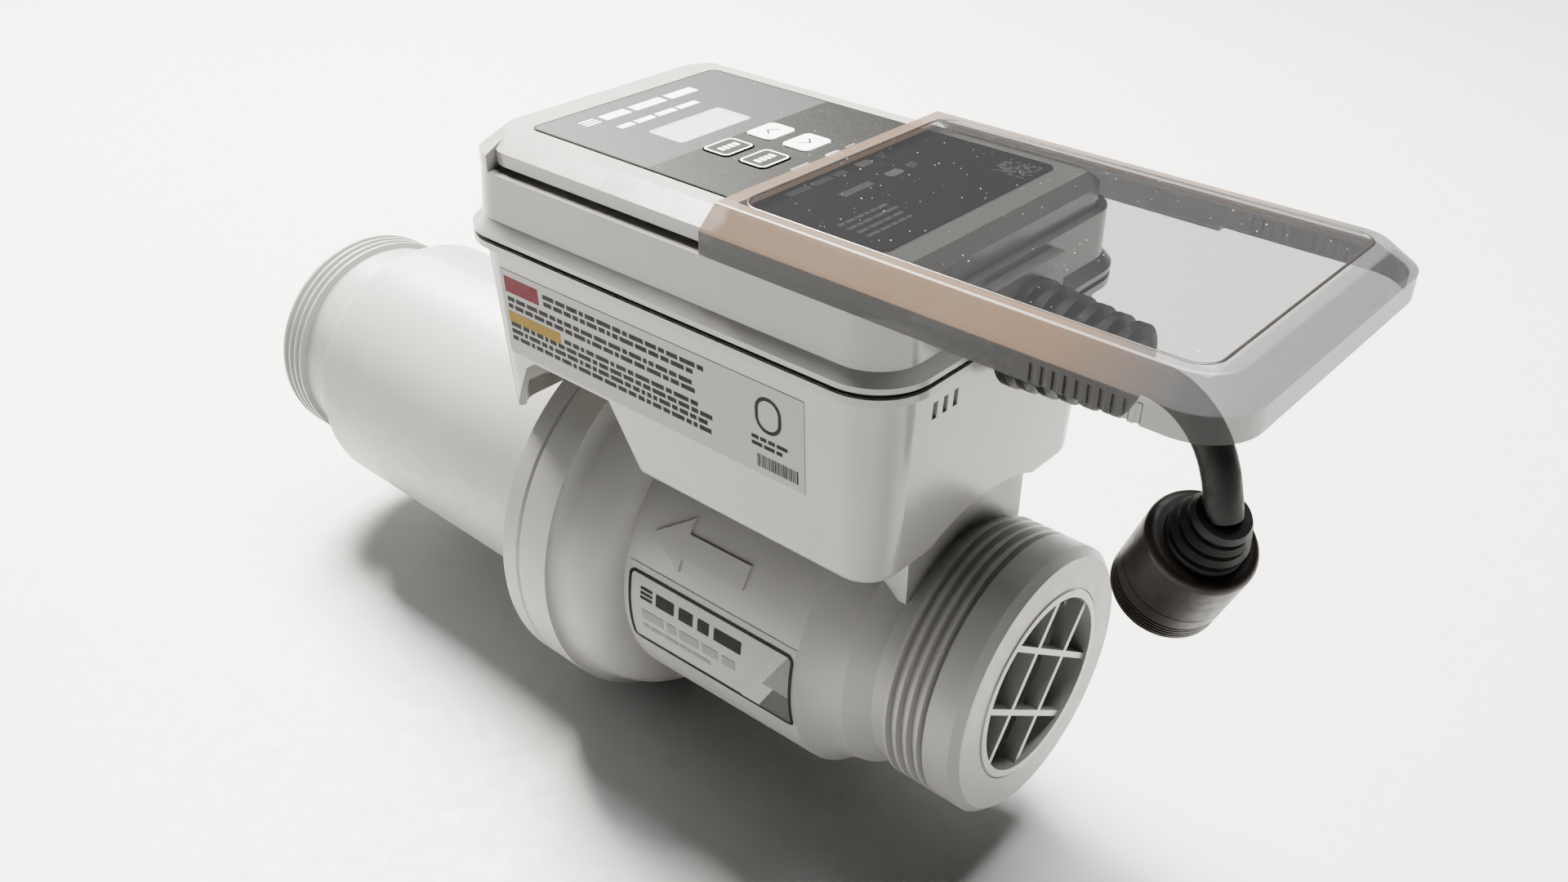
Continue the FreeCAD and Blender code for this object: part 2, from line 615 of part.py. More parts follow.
def tub_cuts():
    """Everything that is cut from the tub: flange notch, pipe scallops, holes and vents."""
    middle = "-flange_seam + (flange_front - flange_back) / 2"
    half = "(flange_front + flange_back) / 2 + notch_clearance"
    notch = new_body("flange_notch")
    outline = [
        ("%s - %s - 9" % (middle, half), "tub_bottom - 1"),
        ("%s + %s + 26" % (middle, half), "tub_bottom - 1"),
        ("%s + %s + 13" % (middle, half), "notch_top"),
        ("%s - %s + 4" % (middle, half), "notch_top"),
        ("%s - %s" % (middle, half), "notch_top - 3"),
    ]
    pad(notch, "notch_pad", "XZ_Plane", [outline], "-housing_half_width - 5",
        "housing_half_width * 2 + 10")
    cuts = [notch]
    cuts.append(cylinder("scallop", "-housing_back - 10", "0", "0", "scallop_radius",
                         "housing_back + 10", Vector(1, 0, 0)))
    cuts.append(cylinder("gland_hole_low", "-housing_front - 8", "0", "cable_level", "gland_hole",
                         "16", Vector(1, 0, 0)))
    cuts.append(cylinder("switch_way", "-switch_place", "0", "floor_level - 1",
                         "switch_radius + 0.5", "6"))
    cuts.append(cylinder("probe_way", "-probe_place", "probe_offset", "floor_level - 1",
                         "probe_radius + 0.5", "6"))
    for step in (0, 1):
        for side in (-1, 1):
            cuts.append(cylinder(
                "terminal_way", "-terminal_front - terminal_step * %d" % step,
                "terminal_spread * %d" % side, "floor_level - 1", "terminal_radius + 0.5", "6"))
    for x, y in screw_places():
        cuts.append(cylinder("screw_way", x, y, "floor_level - 1", "screw_radius", "6"))
    for x, y in power_board_places():
        cuts.append(cylinder("power_pilot", x, y, "power_board_level - 8", "board_screw", "9"))
    for number in range(3):
        middle = "-vent_place + vent_pitch * %d" % number
        cuts.append(block(
            "vent", ("-housing_front - 6", middle + " - vent_width / 2",
                     "vent_level - vent_height / 2"),
            ("-housing_front + 4", middle + " + vent_width / 2", "vent_level + vent_height / 2")))
    return cuts


def lid_outline(inset, back="housing_back", front="rail_front", corner="housing_corner"):
    """A plan outline of the lid's upper part, `inset` inside the nominal wall."""
    return rounded_outline(
        "-(%s)" % back, "-(%s)" % front, "-housing_half_width + (%s)" % inset,
        "housing_half_width - (%s)" % inset, "%s - (%s)" % (corner, inset))


def back_end(back, half, corner):
    """Plan of the full-width block behind the cover's closed stop, with two round corners."""
    bend = "(%s) - (%s) - (housing_back - step_length)" % (back, corner)
    side = "(%s) - (%s) + sqrt((%s) ^ 2 - (%s) ^ 2)" % (half, corner, corner, bend)
    return [
        ("-(housing_back - step_length)", side),
        ("-(%s)" % back, "(%s) - (%s)" % (half, corner), corner, -1),
        ("-(%s)" % back, "(%s) - (%s)" % (corner, half)),
        ("-(housing_back - step_length)", "-(%s)" % side, corner, -1),
    ]


def make_lid():
    """Lid with an undercut rail that the cover slides on, and a full-width block at its back."""
    body = new_body("lid_outside")
    seam = "rim_top + gasket_thickness"
    pad(body, "lid_rim", "XY_Plane", [housing_outline("lip_overhang")], seam, "1.5")
    loft(body, "lid_flare", (housing_outline("lip_overhang"), seam + " + 1.5"),
         (housing_outline("0.5"), seam + " + 1.5 + lid_flare"))
    loft(body, "lid_side", (housing_outline("0.5"), seam + " + 1.5 + lid_flare"),
         (housing_outline("-0.5", "0", "1"), "ledge_level"))
    pad(body, "slot_core", "XY_Plane",
        [lid_outline("slot_inset", "housing_back - step_length + 5")], "ledge_level", "rail_level - ledge_level")
    pad(body, "rail", "XY_Plane",
        [lid_outline("rail_inset", "housing_back - step_length + 5")], "rail_level", "chamfer_level - rail_level")
    loft(body, "top_chamfer", (lid_outline("rail_inset", "housing_back - step_length + 5"), "chamfer_level"),
         (lid_outline("rail_inset + chamfer_width", "housing_back - step_length + 5",
                      "rail_front + chamfer_front"), "lid_top"))
    block_plan = back_end("housing_back - 0.5", "housing_half_width - 0.5", "housing_corner - 0.5")
    pad(body, "back_block", "XY_Plane", [block_plan], "ledge_level",
        "chamfer_level - ledge_level - 1")
    top_plan = back_end("housing_back - 4", "housing_half_width - rail_inset - chamfer_width",
                        "housing_corner - 4")
    loft(body, "back_chamfer", (block_plan, "chamfer_level - 1"), (top_plan, "lid_top"))
    pad(body, "gland_boss", "YZ_Plane",
        [box_outline("-boss_half_width", "boss_half_width", seam, "boss_top")],
        "-housing_front - 5", "housing_front + 5 - boss_front")
    for name, side in (("near", "-1"), ("far", "1")):
        edge = "%s * housing_half_width" % side
        pocket(body, "deep_slot_" + name, "XY_Plane", [box_outline(
            "-(housing_back - step_length)", "-deep_slot_end",
            *(("%s" % edge, "%s + deep_slot_inset" % edge) if side == "-1"
              else ("%s - deep_slot_inset" % edge, "%s" % edge)))],
            "ledge_level", "rail_level - ledge_level")
    pocket(body, "lid_hollow_low", "XY_Plane", [housing_outline("-lid_wall - 1")],
           seam + " - 1", "16")
    pocket(body, "lid_hollow_high", "XY_Plane",
           [lid_outline("deep_slot_inset + lid_wall", "housing_back - step_length", "rail_front + 5")],
           seam, "lid_top - lid_wall - (%s)" % seam)
    doc.recompute()
    posts = [
        cylinder("board_post", x, y, "board_level + board_thickness", "board_post",
                 "lid_top - lid_wall - board_level - board_thickness + 0.5")
        for x, y in board_places()
    ]
    whole = fused("lid_whole", [body] + posts)
    cuts = [cylinder("gland_hole_high", "-housing_front - 8", "0", "cable_level", "gland_hole",
                     "16", Vector(1, 0, 0))]
    cuts += panel_openings("lid_top - lid_wall - 1", "lid_wall + 2", "key_gap", "lid")
    for x, y in board_places():
        cuts.append(cylinder("board_pilot", x, y, "board_level", "board_screw", "6"))
    keep(cut("housing_lid", whole, fused("lid_cuts", cuts)))


def key_places():
    """Name and middle point of each key."""
    return (
        ("key_info", "-key_back_row", "-key_near"), ("key_up", "-key_back_row", "key_far"),
        ("key_boost", "-key_front_row", "-key_near"), ("key_down", "-key_front_row", "key_far"),
    )


def light_places():
    """Middle point of each status light."""
    return [("-light_first - light_pitch * %d" % number, "light_row") for number in range(3)]


def board_places():
    """Where the four screws of the control board stand."""
    return [
        (x, y) for x in ("-board_front - 7", "-board_back + 7")
        for y in ("-board_half_width + 7", "board_half_width - 7")
    ]


def window_outline(gap):
    """The display window's outline, `gap` larger all round."""
    return rounded_outline(
        "-window_back - (%s)" % gap, "-window_front + (%s)" % gap,
        "-window_near - (%s)" % gap, "window_far + (%s)" % gap, "1.5")


def key_outline(x, y, grow):
    """A key's outline, `grow` larger all round."""
    return centred_outline(x, y, "key_short + 2 * (%s)" % grow, "key_long + 2 * (%s)" % grow, "2")


def light_outline(x, y, grow):
    """A status light's outline, `grow` larger all round."""
    return centred_outline(
        x, y, "light_short + 2 * (%s)" % grow, "light_long + 2 * (%s)" % grow, "1.4")


def panel_openings(start, length, gap, prefix):
    """One prism per key, for the window and for the lights, to cut from a panel layer."""
    tools = []
    for name, x, y in key_places():
        tool = new_body("%s_%s_opening" % (prefix, name))
        pad(tool, tool.Label + "_pad", "XY_Plane", [key_outline(x, y, gap)], start, length)
        tools.append(tool)
    tool = new_body(prefix + "_window_opening")
    pad(tool, tool.Label + "_pad", "XY_Plane", [window_outline("0.05")], start, length)
    tools.append(tool)
    for number, (x, y) in enumerate(light_places()):
        tool = new_body("%s_light_opening_%d" % (prefix, number))
        pad(tool, tool.Label + "_pad", "XY_Plane", [light_outline(x, y, "0.05")], start, length)
        tools.append(tool)
    return tools


def make_panel():
    """Control film, display, keys, lights and the board that carries them."""
    film = new_body("film_blank")
    pad(film, "film_pad", "XY_Plane", [rounded_outline(
        "-film_back", "-film_front", "-film_half_width", "film_half_width", "2.5")],
        "lid_top", "film_thickness")
    openings = panel_openings("lid_top - 1", "3", "key_gap", "film")
    keep(cut("control_film", film, fused("film_cuts", openings)))
    window = keep(new_body("display_window"))
    pad(window, "window_pad", "XY_Plane", [window_outline("0")], "lid_top", "film_thickness")
    module = keep(new_body("display_module"))
    pad(module, "module_pad", "XY_Plane", [window_outline("0")], "board_level + board_thickness",
        "lid_top - board_level - board_thickness")
    for name, x, y in key_places():
        key = keep(new_body(name))
        pad(key, name + "_skirt", "XY_Plane", [key_outline(x, y, "key_skirt")], "key_bottom",
            "key_skirt_height")
        pad(key, name + "_cap", "XY_Plane", [key_outline(x, y, "0")], "key_bottom",
            "lid_top + film_thickness + key_proud - key_bottom")
        top = "lid_top + film_thickness + key_proud"
        round_edges(key, name + "_round", "0.3",
                    lambda point, edge: abs(point.z - value(top)) < 0.01)
    switches = []
    for name, x, y in key_places():
        low = "board_level + board_thickness"
        base = block("switch_base", (x + " - 3", y + " - 3", low), (x + " + 3", y + " + 3", low + " + 2"))
        knob = cylinder("switch_knob", x, y, low + " + 1.5", "1.6",
                        "key_bottom - key_travel - 0.3 - (%s) - 1.5" % low)
        switches.append(fused("key_switch", [base, knob]))
    keep(grouped("key_switches", switches))
    lights = []
    for number, (x, y) in enumerate(light_places()):
        light = new_body("status_light_%d" % number)
        pad(light, "light_pad_%d" % number, "XY_Plane", [light_outline(x, y, "0")],
            "board_level + board_thickness",
            "lid_top + film_thickness - board_level - board_thickness")
        lights.append(light)
    keep(grouped("status_lights", lights))
    plate = new_body("board_plate")
    pad(plate, "board_pad", "XY_Plane", [rounded_outline(
        "-board_back", "-board_front", "-board_half_width", "board_half_width", "3")],
        "board_level", "board_thickness")
    holes = [cylinder("board_hole", x, y, "board_level - 1", "board_screw", "4")
             for x, y in board_places()]
    keep(cut("control_board", plate, fused("board_holes", holes)))
    keep(grouped("board_screws", [
        headed_screw("board_fixing", x, y, "board_level", "board_screw", "5.6", 1)
        for x, y in board_places()
    ]))


def headed_screw(name, x, y, level, radius, length, upwards):
    """A pan-head screw whose head bears at `level` and whose shank points up (1) or down (-1)."""
    along = Vector(0, 0, upwards)
    shank = cylinder(name + "_shank", x, y, level, radius, length, along)
    head = cylinder(name + "_head", x, y, level, radius + " * 2", radius + " * 1.2", along * -1)
    return fused(name, [shank, head])


def make_power_board():
    """Power board in the tub with its tall components, and the screws of board and tub."""
    top = "power_board_level + board_thickness"
    plate = block(
        "power_plate", ("-power_board_back", "-power_board_half_width", "power_board_level"),
        ("-power_board_front", "power_board_half_width", top))
    holes = [cylinder("power_hole", x, y, "power_board_level - 1", "board_screw", "4")
             for x, y in power_board_places()]
    keep(cut("power_board", plate, fused("power_holes", holes)))
    parts = [
        block("transformer", ("-150", "-24", top), ("-112", "16", top + " + 26")),
        block("heat_sink", ("-104", "20", top), ("-56", "34", top + " + 24")),
    ]
    for number in range(3):
        parts.append(cylinder("capacitor", "-98 + 16 * %d" % number, "-12", top, "6.5", "22"))
    keep(grouped("power_parts", parts))
    screws = [
        headed_screw("power_fixing", x, y, top, "board_screw", "8", -1)
        for x, y in power_board_places()
    ]
    keep(grouped("power_screws", screws))
    keep(grouped("tub_screws", [
        headed_screw("tub_fixing", x, y, "floor_level + floor_thickness", "screw_radius", "11", -1)
        for x, y in screw_places()
    ]))


def make_gasket():
    """Flat gasket between the tub's lip and the lid's rim."""
    ring = new_body("gasket_blank")
    pad(ring, "gasket_pad", "XY_Plane", [housing_outline("lip_overhang - gasket_inset")],
        "rim_top", "gasket_thickness")
    pocket(ring, "gasket_hollow", "XY_Plane", [housing_outline("-tub_wall")],
           "rim_top - 1", "gasket_thickness + 2")
    doc.recompute()
    hole = cylinder("gasket_gap", "-housing_front - 8", "0", "cable_level", "gland_hole", "20",
                    Vector(1, 0, 0))
    keep(cut("rim_gasket", ring, hole))


def make_cover():
    """Clear sliding cover: a chamfered tray, open at its back, whose lips run in the lid's slots."""
    body = new_body("cover_tray")

    def tray(grow_y, back, front, corner):
        return rounded_outline(back, front, "-cover_half_width + (%s)" % grow_y,
                               "cover_half_width - (%s)" % grow_y, corner, square_back=True)

    wall = tray("0", "-cover_back", "cover_front", "cover_corner")
    pad(body, "cover_side", "XY_Plane", [wall], "cover_bottom", "cover_crease - cover_bottom")
    loft(body, "cover_slope", (wall, "cover_crease"),
         (tray("cover_chamfer", "-cover_back", "cover_front - cover_chamfer",
               "cover_corner - 4"), "cover_top"))
    round_edges(body, "cover_rounding", "1.2", lambda point, edge: (
        point.x > value("-cover_back") + 1 and abs(point.z - value("cover_top")) < 0.01))
    inner = tray("cover_wall", "-cover_back - 1", "cover_front - cover_wall",
                 "cover_corner - cover_wall")
    pocket(body, "cover_hollow", "XY_Plane", [inner], "cover_bottom - 1",
           "cover_crease - cover_bottom + 0.3")
    loft(body, "cover_vault", (inner, "cover_crease - 0.7"),
         (tray("cover_chamfer + 1", "-cover_back - 1", "cover_front - cover_chamfer - 1",
               "cover_corner - 5"), "cover_top - cover_wall"), kind="PartDesign::SubtractiveLoft")
    grips = [
        box_outline("grip_first - grip_width / 2", "grip_first + grip_width / 2", low, high)
        for low, high in (("-cover_half_width - 1", "-cover_half_width + grip_depth"),
                          ("cover_half_width - grip_depth", "cover_half_width + 1"))
    ]
    groove = pocket(body, "grip_groove", "XY_Plane", grips, "cover_bottom - 1",
                    "cover_crease - cover_bottom - 0.5")
    row = body.newObject("PartDesign::LinearPattern", "grip_row")
    row.Originals = [groove]
    row.Direction = (next(item for item in body.Origin.OriginFeatures if item.Role == "X_Axis"), [""])
    row.setExpression("Length", bound("grip_pitch * %d" % (GRIP_COUNT - 1)))
    row.Occurrences = GRIP_COUNT
    body.Tip = row
    lips = []
    for side in (-1, 1):
        edge = "%d * (cover_half_width - cover_wall / 2)" % side
        for name, end, reach in (("lip", "lip_end", "lip_reach"),
                                 ("hook", "hook_length - cover_back", "hook_reach")):
            inner_edge = "%d * (cover_half_width - %s)" % (side, reach)
            low, high = (edge, inner_edge) if side < 0 else (inner_edge, edge)
            lips.append(block("cover_" + name, ("-cover_back", low, "cover_bottom"),
                              (end, high, "cover_bottom + lip_thickness")))
    keep(fused("sliding_cover", [body] + lips))


def make_labels():
    """Rating label on the tub's side wall and name label on the barrel."""
    side = keep(new_body("side_label"))
    slope = "tub_draft / (rim_bottom - tub_bottom)"
    low = "-housing_half_width + (rim_bottom - side_label_low) * " + slope
    high = "-housing_half_width + (rim_bottom - side_label_high) * " + slope
    outline = [
        (low, "side_label_low"), (high, "side_label_high"),
        (high + " - label_thickness", "side_label_high"),
        (low + " - label_thickness", "side_label_low"),
    ]
    pad(side, "side_label_pad", "YZ_Plane", [outline], "-side_label_back",
        "side_label_back - side_label_front")
    name = keep(new_body("body_label"))
    drop = "1.2 / (flange_seam - flange_foot - body_label_front)"
    back = "barrel_radius - 1.2 + (body_label_back - body_label_front) * " + drop
    front = "barrel_radius - 1.2"
    skin = turned(name, "body_label_skin", [
        ("-body_label_back", back), ("-body_label_back", back + " + label_thickness"),
        ("-body_label_front", front + " + label_thickness"), ("-body_label_front", front),
    ])
    skin.setExpression("Angle", bound("body_label_turn"))
    name.Placement = Placement(
        Vector(0, 0, 0), Rotation(Vector(1, 0, 0), value("body_label_start")))
    name.setExpression("Placement.Rotation.Angle", bound("body_label_start"))


def make_strain_relief(cable):
    """Ribbed rubber strain relief, held in the seam between tub and lid, with the lead in it."""
    body = new_body("relief_outside")
    outline = [
        ("-housing_front - 7", "0"), ("-housing_front - 7", "gland_hole + 2"),
        ("-housing_front - 4.5", "gland_hole + 2"), ("-housing_front - 4.5", "gland_hole"),
        ("-boss_front", "gland_hole"), ("-boss_front", "gland_flange"),
        ("-boss_front + 3", "gland_flange"),
    ]
    for number in range(RIB_COUNT):
        start = "-boss_front + 3 + rib_pitch * %d" % number
        crest = "gland_neck + rib_depth - %s * (gland_neck - gland_tip)" % (number / RIB_COUNT)
        outline += [
            (start, crest + " - rib_depth"), (start + " + rib_pitch * 0.3", crest + " - rib_depth"),
            (start + " + rib_pitch * 0.45", crest), (start + " + rib_pitch * 0.9", crest),
        ]
    outline += [("gland_end", "gland_tip - 1"), ("gland_end", "0")]
    turned(body, "relief_turning", outline, "cable_level")
    keep(cut("strain_relief", body, cable))


def rounded_route(points):
    """Straight runs joined by tangent arcs, and the length of the path. It prints the radii."""
    edges = []
    length = 0
    last = points[0]
    for before, corner, after in zip(points, points[1:], points[2:]):
        arriving = (corner - before).normalize()
        leaving = (after - corner).normalize()
        half_turn = arriving.getAngle(leaving) / 2
        reach = 0.45 * min((corner - before).Length, (after - corner).Length)
        radius = reach / math.tan(half_turn)
        print("lead bend radius %.1f mm" % radius)
        start = corner - arriving * reach
        finish = corner + leaving * reach
        inwards = (leaving - arriving).normalize()
        middle = corner + inwards * (radius / math.cos(half_turn) - radius)
        edges.append(Part.LineSegment(last, start).toShape())
        edges.append(Part.Arc(start, middle, finish).toShape())
        length += (start - last).Length + radius * 2 * half_turn
        last = finish
    edges.append(Part.LineSegment(last, points[-1]).toShape())
    length += (points[-1] - last).Length
    return Part.Wire(edges), length


def make_cable():
    """The short power lead: one round tube swept along its route."""
    path, length = rounded_route([Vector(*point) for point in CABLE_ROUTE])
    radius = value("cable_radius")
    section = Part.Wire(Part.makeCircle(radius, Vector(*CABLE_ROUTE[0]), Vector(1, 0, 0)))
    tube = path.makePipeShell([section], True, False)
    expected = math.pi * radius ** 2 * length
    print("lead length %.1f mm, volume over section x length %.4f" % (length, tube.Volume / expected))
    cable = keep(doc.addObject("Part::Feature", "power_cable"))
    cable.Label = "power_cable"
    cable.Shape = tube
    return cable


def make_plug():
    """Plug on the lead: ribbed boot, barrel with a shroud, coupling ring and four prongs."""
    seat = Placement(PLUG_SEAT, Rotation(Vector(0, 0, 1), PLUG_AXIS))
    upright = Rotation(Vector(0, 1, 0), -90)
    local = seat.multiply(Placement(Vector(0, 0, 0), upright))
    barrel = keep(new_body("plug_body"))
    inner = "plug_radius - ring_wall - ring_clearance"
    turned(barrel, "plug_turning", [
        ("0", "0"), ("0", "plug_radius - 2.5"), ("2.5", "plug_radius", "2.5", 1),
        ("plug_length - ring_length", "plug_radius"), ("plug_length - ring_length", inner),
        ("plug_length", inner), ("plug_length", "nose_radius"),
        ("plug_length + nose_length", "nose_radius"),
        ("plug_length + nose_length", "nose_radius - nose_wall"),
        ("plug_length - 6", "nose_radius - nose_wall"), ("plug_length - 6", "0"),
    ])
    barrel.Placement = local
    ring = keep(new_body("plug_ring"))
    groove = []
    for number in range(4):
        start = "plug_length - 2.2 - 1.2 * %d" % number
        groove += [(start, "plug_radius"), (start + " - 0.15", "plug_radius - 0.5"),
                   (start + " - 0.45", "plug_radius - 0.5"), (start + " - 0.6", "plug_radius")]
    turned(ring, "ring_turning", [
        ("plug_length - ring_length + 0.3", "plug_radius - ring_wall"),
        ("plug_length - ring_length + 0.3", "plug_radius"),
    ] + list(reversed(groove)) + [
        ("plug_length - 0.8", "plug_radius"), ("plug_length", "plug_radius - 0.8"),
        ("plug_length", "plug_radius - ring_wall"),
    ])
    ring.Placement = local
    boot = keep(new_body("plug_boot"))
    ribs = [("0", "0"), ("0", "boot_foot")]
    for number in range(3):
        start = "-1.5 - 3.4 * %d" % number
        radius = "boot_foot - %s * (boot_foot - boot_tip)" % ((number + 1) / 3)
        ribs += [(start, "%s + 0.9" % radius), (start + " - 0.4", radius),
                 (start + " - 1.6", radius), (start + " - 2", "%s + 0.9" % radius)]
    ribs += [("-boot_length", "boot_tip"), ("-boot_length", "0")]
    turned(boot, "boot_turning", ribs)
    boot.Placement = local
    prongs = []
    for number in range(4):
        angle = math.radians(45 + 90 * number)
        prong = cylinder("prong", "plug_length - 6", "5 * %.6f" % math.cos(angle),
                         "5 * %.6f" % math.sin(angle), "prong_radius", "prong_length",
                         Vector(1, 0, 0))
        prongs.append(prong)
    pins = keep(grouped("plug_pins", prongs))
    pins.Placement = local


def check_and_write():
    """Recompute, refuse a failed object or an invalid shape, and write one file per sub-part."""
    doc.recompute()
    failed = [item.Name for item in doc.Objects if "Invalid" in item.State or "Error" in item.State]
    failed += [
        node.Label for node in nodes
        if node.Shape.isNull() or not node.Shape.isValid() or not node.Shape.Solids
    ]
    if failed:
        raise RuntimeError("failed: " + ", ".join(failed))
    os.makedirs("parts", exist_ok=True)
    for node in nodes:
        node.Shape.exportStep("parts/%s.step" % node.Label)
        print("%s: %d solids, %.0f mm3" % (node.Label, len(node.Shape.Solids), node.Shape.Volume))


fill_sheet()
make_inlet_body()
make_outlet_body()
make_grille()
make_electrodes()
make_flow_switch()
make_tub()
make_gasket()
make_lid()
make_panel()
make_power_board()
make_cover()
make_labels()
make_strain_relief(make_cable())
make_plug()
check_and_write()
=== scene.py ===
import logging
from dataclasses import dataclass, field
from enum import Enum

import bmesh
import bpy
import numpy as np
from mathutils import Matrix, Vector


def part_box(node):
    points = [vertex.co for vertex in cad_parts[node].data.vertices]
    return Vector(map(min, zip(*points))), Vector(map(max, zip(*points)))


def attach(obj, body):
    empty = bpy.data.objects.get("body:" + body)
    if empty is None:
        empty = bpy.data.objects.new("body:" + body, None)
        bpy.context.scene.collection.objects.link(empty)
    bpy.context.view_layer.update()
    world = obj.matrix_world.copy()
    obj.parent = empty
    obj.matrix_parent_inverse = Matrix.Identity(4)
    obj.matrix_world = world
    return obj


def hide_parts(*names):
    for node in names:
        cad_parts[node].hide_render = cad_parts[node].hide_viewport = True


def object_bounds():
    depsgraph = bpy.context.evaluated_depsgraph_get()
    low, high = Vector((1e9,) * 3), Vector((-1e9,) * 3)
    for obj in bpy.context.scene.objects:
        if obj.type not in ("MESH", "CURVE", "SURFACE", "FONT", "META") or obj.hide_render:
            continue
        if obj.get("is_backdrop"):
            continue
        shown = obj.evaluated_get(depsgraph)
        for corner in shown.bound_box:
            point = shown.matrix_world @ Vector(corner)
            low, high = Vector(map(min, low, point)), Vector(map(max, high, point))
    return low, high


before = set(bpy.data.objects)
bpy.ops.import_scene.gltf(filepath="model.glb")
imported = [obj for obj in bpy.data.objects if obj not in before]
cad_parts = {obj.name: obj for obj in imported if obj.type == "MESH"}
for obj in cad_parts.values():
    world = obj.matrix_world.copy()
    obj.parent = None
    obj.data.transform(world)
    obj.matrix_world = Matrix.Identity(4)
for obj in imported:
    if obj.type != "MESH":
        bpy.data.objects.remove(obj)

logging.basicConfig(level=logging.INFO, format="%(name)s: %(message)s")
log = logging.getLogger("chlorine_generator")

UNIT = "unit"
WORD_GAP = 0.45  # gap between two bars of print, as a share of their height
WORD_SPREAD = (0.4, 1.6)  # shortest and longest bar, as shares of the mean length


class Surface(Enum):
    """How a moulded or rolled surface takes the light."""

    GLOSSY = 0.22
    SATIN = 0.38
    MATT = 0.55


class Facing(Enum):
    """Which side of the object a printed patch looks towards."""

    UP = "up"
    SIDE = "side"
    BARREL = "barrel"


# ---------------------------------------------------------------- materials


@dataclass
class NodeBench:
    """A material's node tree, with short methods for the nodes that the finishes share."""

    name: str
    material: bpy.types.Material = field(init=False)
    tree: bpy.types.NodeTree = field(init=False)
    shader: bpy.types.Node = field(init=False)
    place: bpy.types.NodeSocket = field(init=False)

    def __post_init__(self) -> None:
        """Make an empty material with a shader, an output and Object coordinates."""
        self.material = bpy.data.materials.new(self.name)
        self.material.use_nodes = True
        self.tree = self.material.node_tree
        self.tree.nodes.clear()
        out = self.tree.nodes.new("ShaderNodeOutputMaterial")
        self.shader = self.tree.nodes.new("ShaderNodeBsdfPrincipled")
        self.tree.links.new(self.shader.outputs["BSDF"], out.inputs["Surface"])
        self.place = self.tree.nodes.new("ShaderNodeTexCoord").outputs["Object"]

    def noise(self, scale: float, detail: float = 3.0) -> bpy.types.NodeSocket:
        """Add a noise pattern on Object coordinates.

        Args:
            scale: Waves per metre.
            detail: Octaves.

        Returns:
            The socket with the noise's value, 0 to 1.
        """
        node = self.tree.nodes.new("ShaderNodeTexNoise")
        node.inputs["Scale"].default_value = scale
        node.inputs["Detail"].default_value = detail
        self.tree.links.new(self.place, node.inputs["Vector"])
        return node.outputs["Fac"]

    def ramp(
        self, value: bpy.types.NodeSocket, low: float, high: float, first: float, last: float
    ) -> bpy.types.NodeSocket:
        """Map a value from one range to another, clamped.

        Args:
            value: The socket to map.
            low: The value that gives `first`.
            high: The value that gives `last`.
            first: Result at `low`.
            last: Result at `high`.

        Returns:
            The socket with the mapped value.
        """
        node = self.tree.nodes.new("ShaderNodeMapRange")
        for key, number in zip(("From Min", "From Max", "To Min", "To Max"),
                               (low, high, first, last)):
            node.inputs[key].default_value = number
        self.tree.links.new(value, node.inputs["Value"])
        return node.outputs["Result"]

    def blend(
        self, factor: bpy.types.NodeSocket, first: tuple, second: tuple
    ) -> bpy.types.NodeSocket:
        """Mix two colours.

        Args:
            factor: 0 gives the first colour and 1 the second.
            first: A colour, three numbers, or a socket that carries one.
            second: The same.

        Returns:
            The socket with the mixed colour.
        """
        node = self.tree.nodes.new("ShaderNodeMix")
        node.data_type = "RGBA"
        self.tree.links.new(factor, node.inputs["Factor"])
        for key, colour in (("A", first), ("B", second)):
            slot = next(s for s in node.inputs if s.name == key and s.type == "RGBA")
            if isinstance(colour, tuple):
                slot.default_value = (*colour, 1.0)
            else:
                self.tree.links.new(colour, slot)
        return next(s for s in node.outputs if s.type == "RGBA")

    def joined(
        self, kind: str, first: bpy.types.NodeSocket, second: object
    ) -> bpy.types.NodeSocket:
        """Join two values with one arithmetic step.

        Args:
            kind: The Math node's operation.
            first: A socket.
            second: A socket or a number.

        Returns:
            The socket with the result.
        """
        node = self.tree.nodes.new("ShaderNodeMath")
        node.operation = kind
        self.tree.links.new(first, node.inputs[0])
        if isinstance(second, (int, float)):
            node.inputs[1].default_value = second
        else:
            self.tree.links.new(second, node.inputs[1])
        return node.outputs[0]

    def mixed(
        self, factor: bpy.types.NodeSocket, first: bpy.types.NodeSocket,
        second: bpy.types.NodeSocket,
    ) -> bpy.types.NodeSocket:
        """Mix two values.

        Args:
            factor: 0 gives the first value and 1 the second.
            first: A socket.
            second: A socket.

        Returns:
            The socket with the mixed value.
        """
        node = self.tree.nodes.new("ShaderNodeMix")
        for place, socket in zip((0, 2, 3), (factor, first, second)):
            self.tree.links.new(socket, node.inputs[place])
        return node.outputs[0]

    def axis(self, letter: str) -> bpy.types.NodeSocket:
        """One Object coordinate, in metres."""
        node = self.tree.nodes.new("ShaderNodeSeparateXYZ")
        self.tree.links.new(self.place, node.inputs[0])
        return node.outputs[letter]

    def bump(self, height: bpy.types.NodeSocket, strength: float, distance: float) -> None:
        """Raise the shading normal by a height pattern.

        Args:
            height: The pattern.
            strength: How much of it shows, 0 to 1.
            distance: Height of a full step, in metres.
        """
        node = self.tree.nodes.new("ShaderNodeBump")
        node.inputs["Strength"].default_value = strength
        node.inputs["Distance"].default_value = distance
        self.tree.links.new(height, node.inputs["Height"])
        self.tree.links.new(node.outputs["Normal"], self.shader.inputs["Normal"])

    def colour(self, socket: bpy.types.NodeSocket) -> None:
        """Send a colour to the shader."""
        self.tree.links.new(socket, self.shader.inputs["Base Color"])

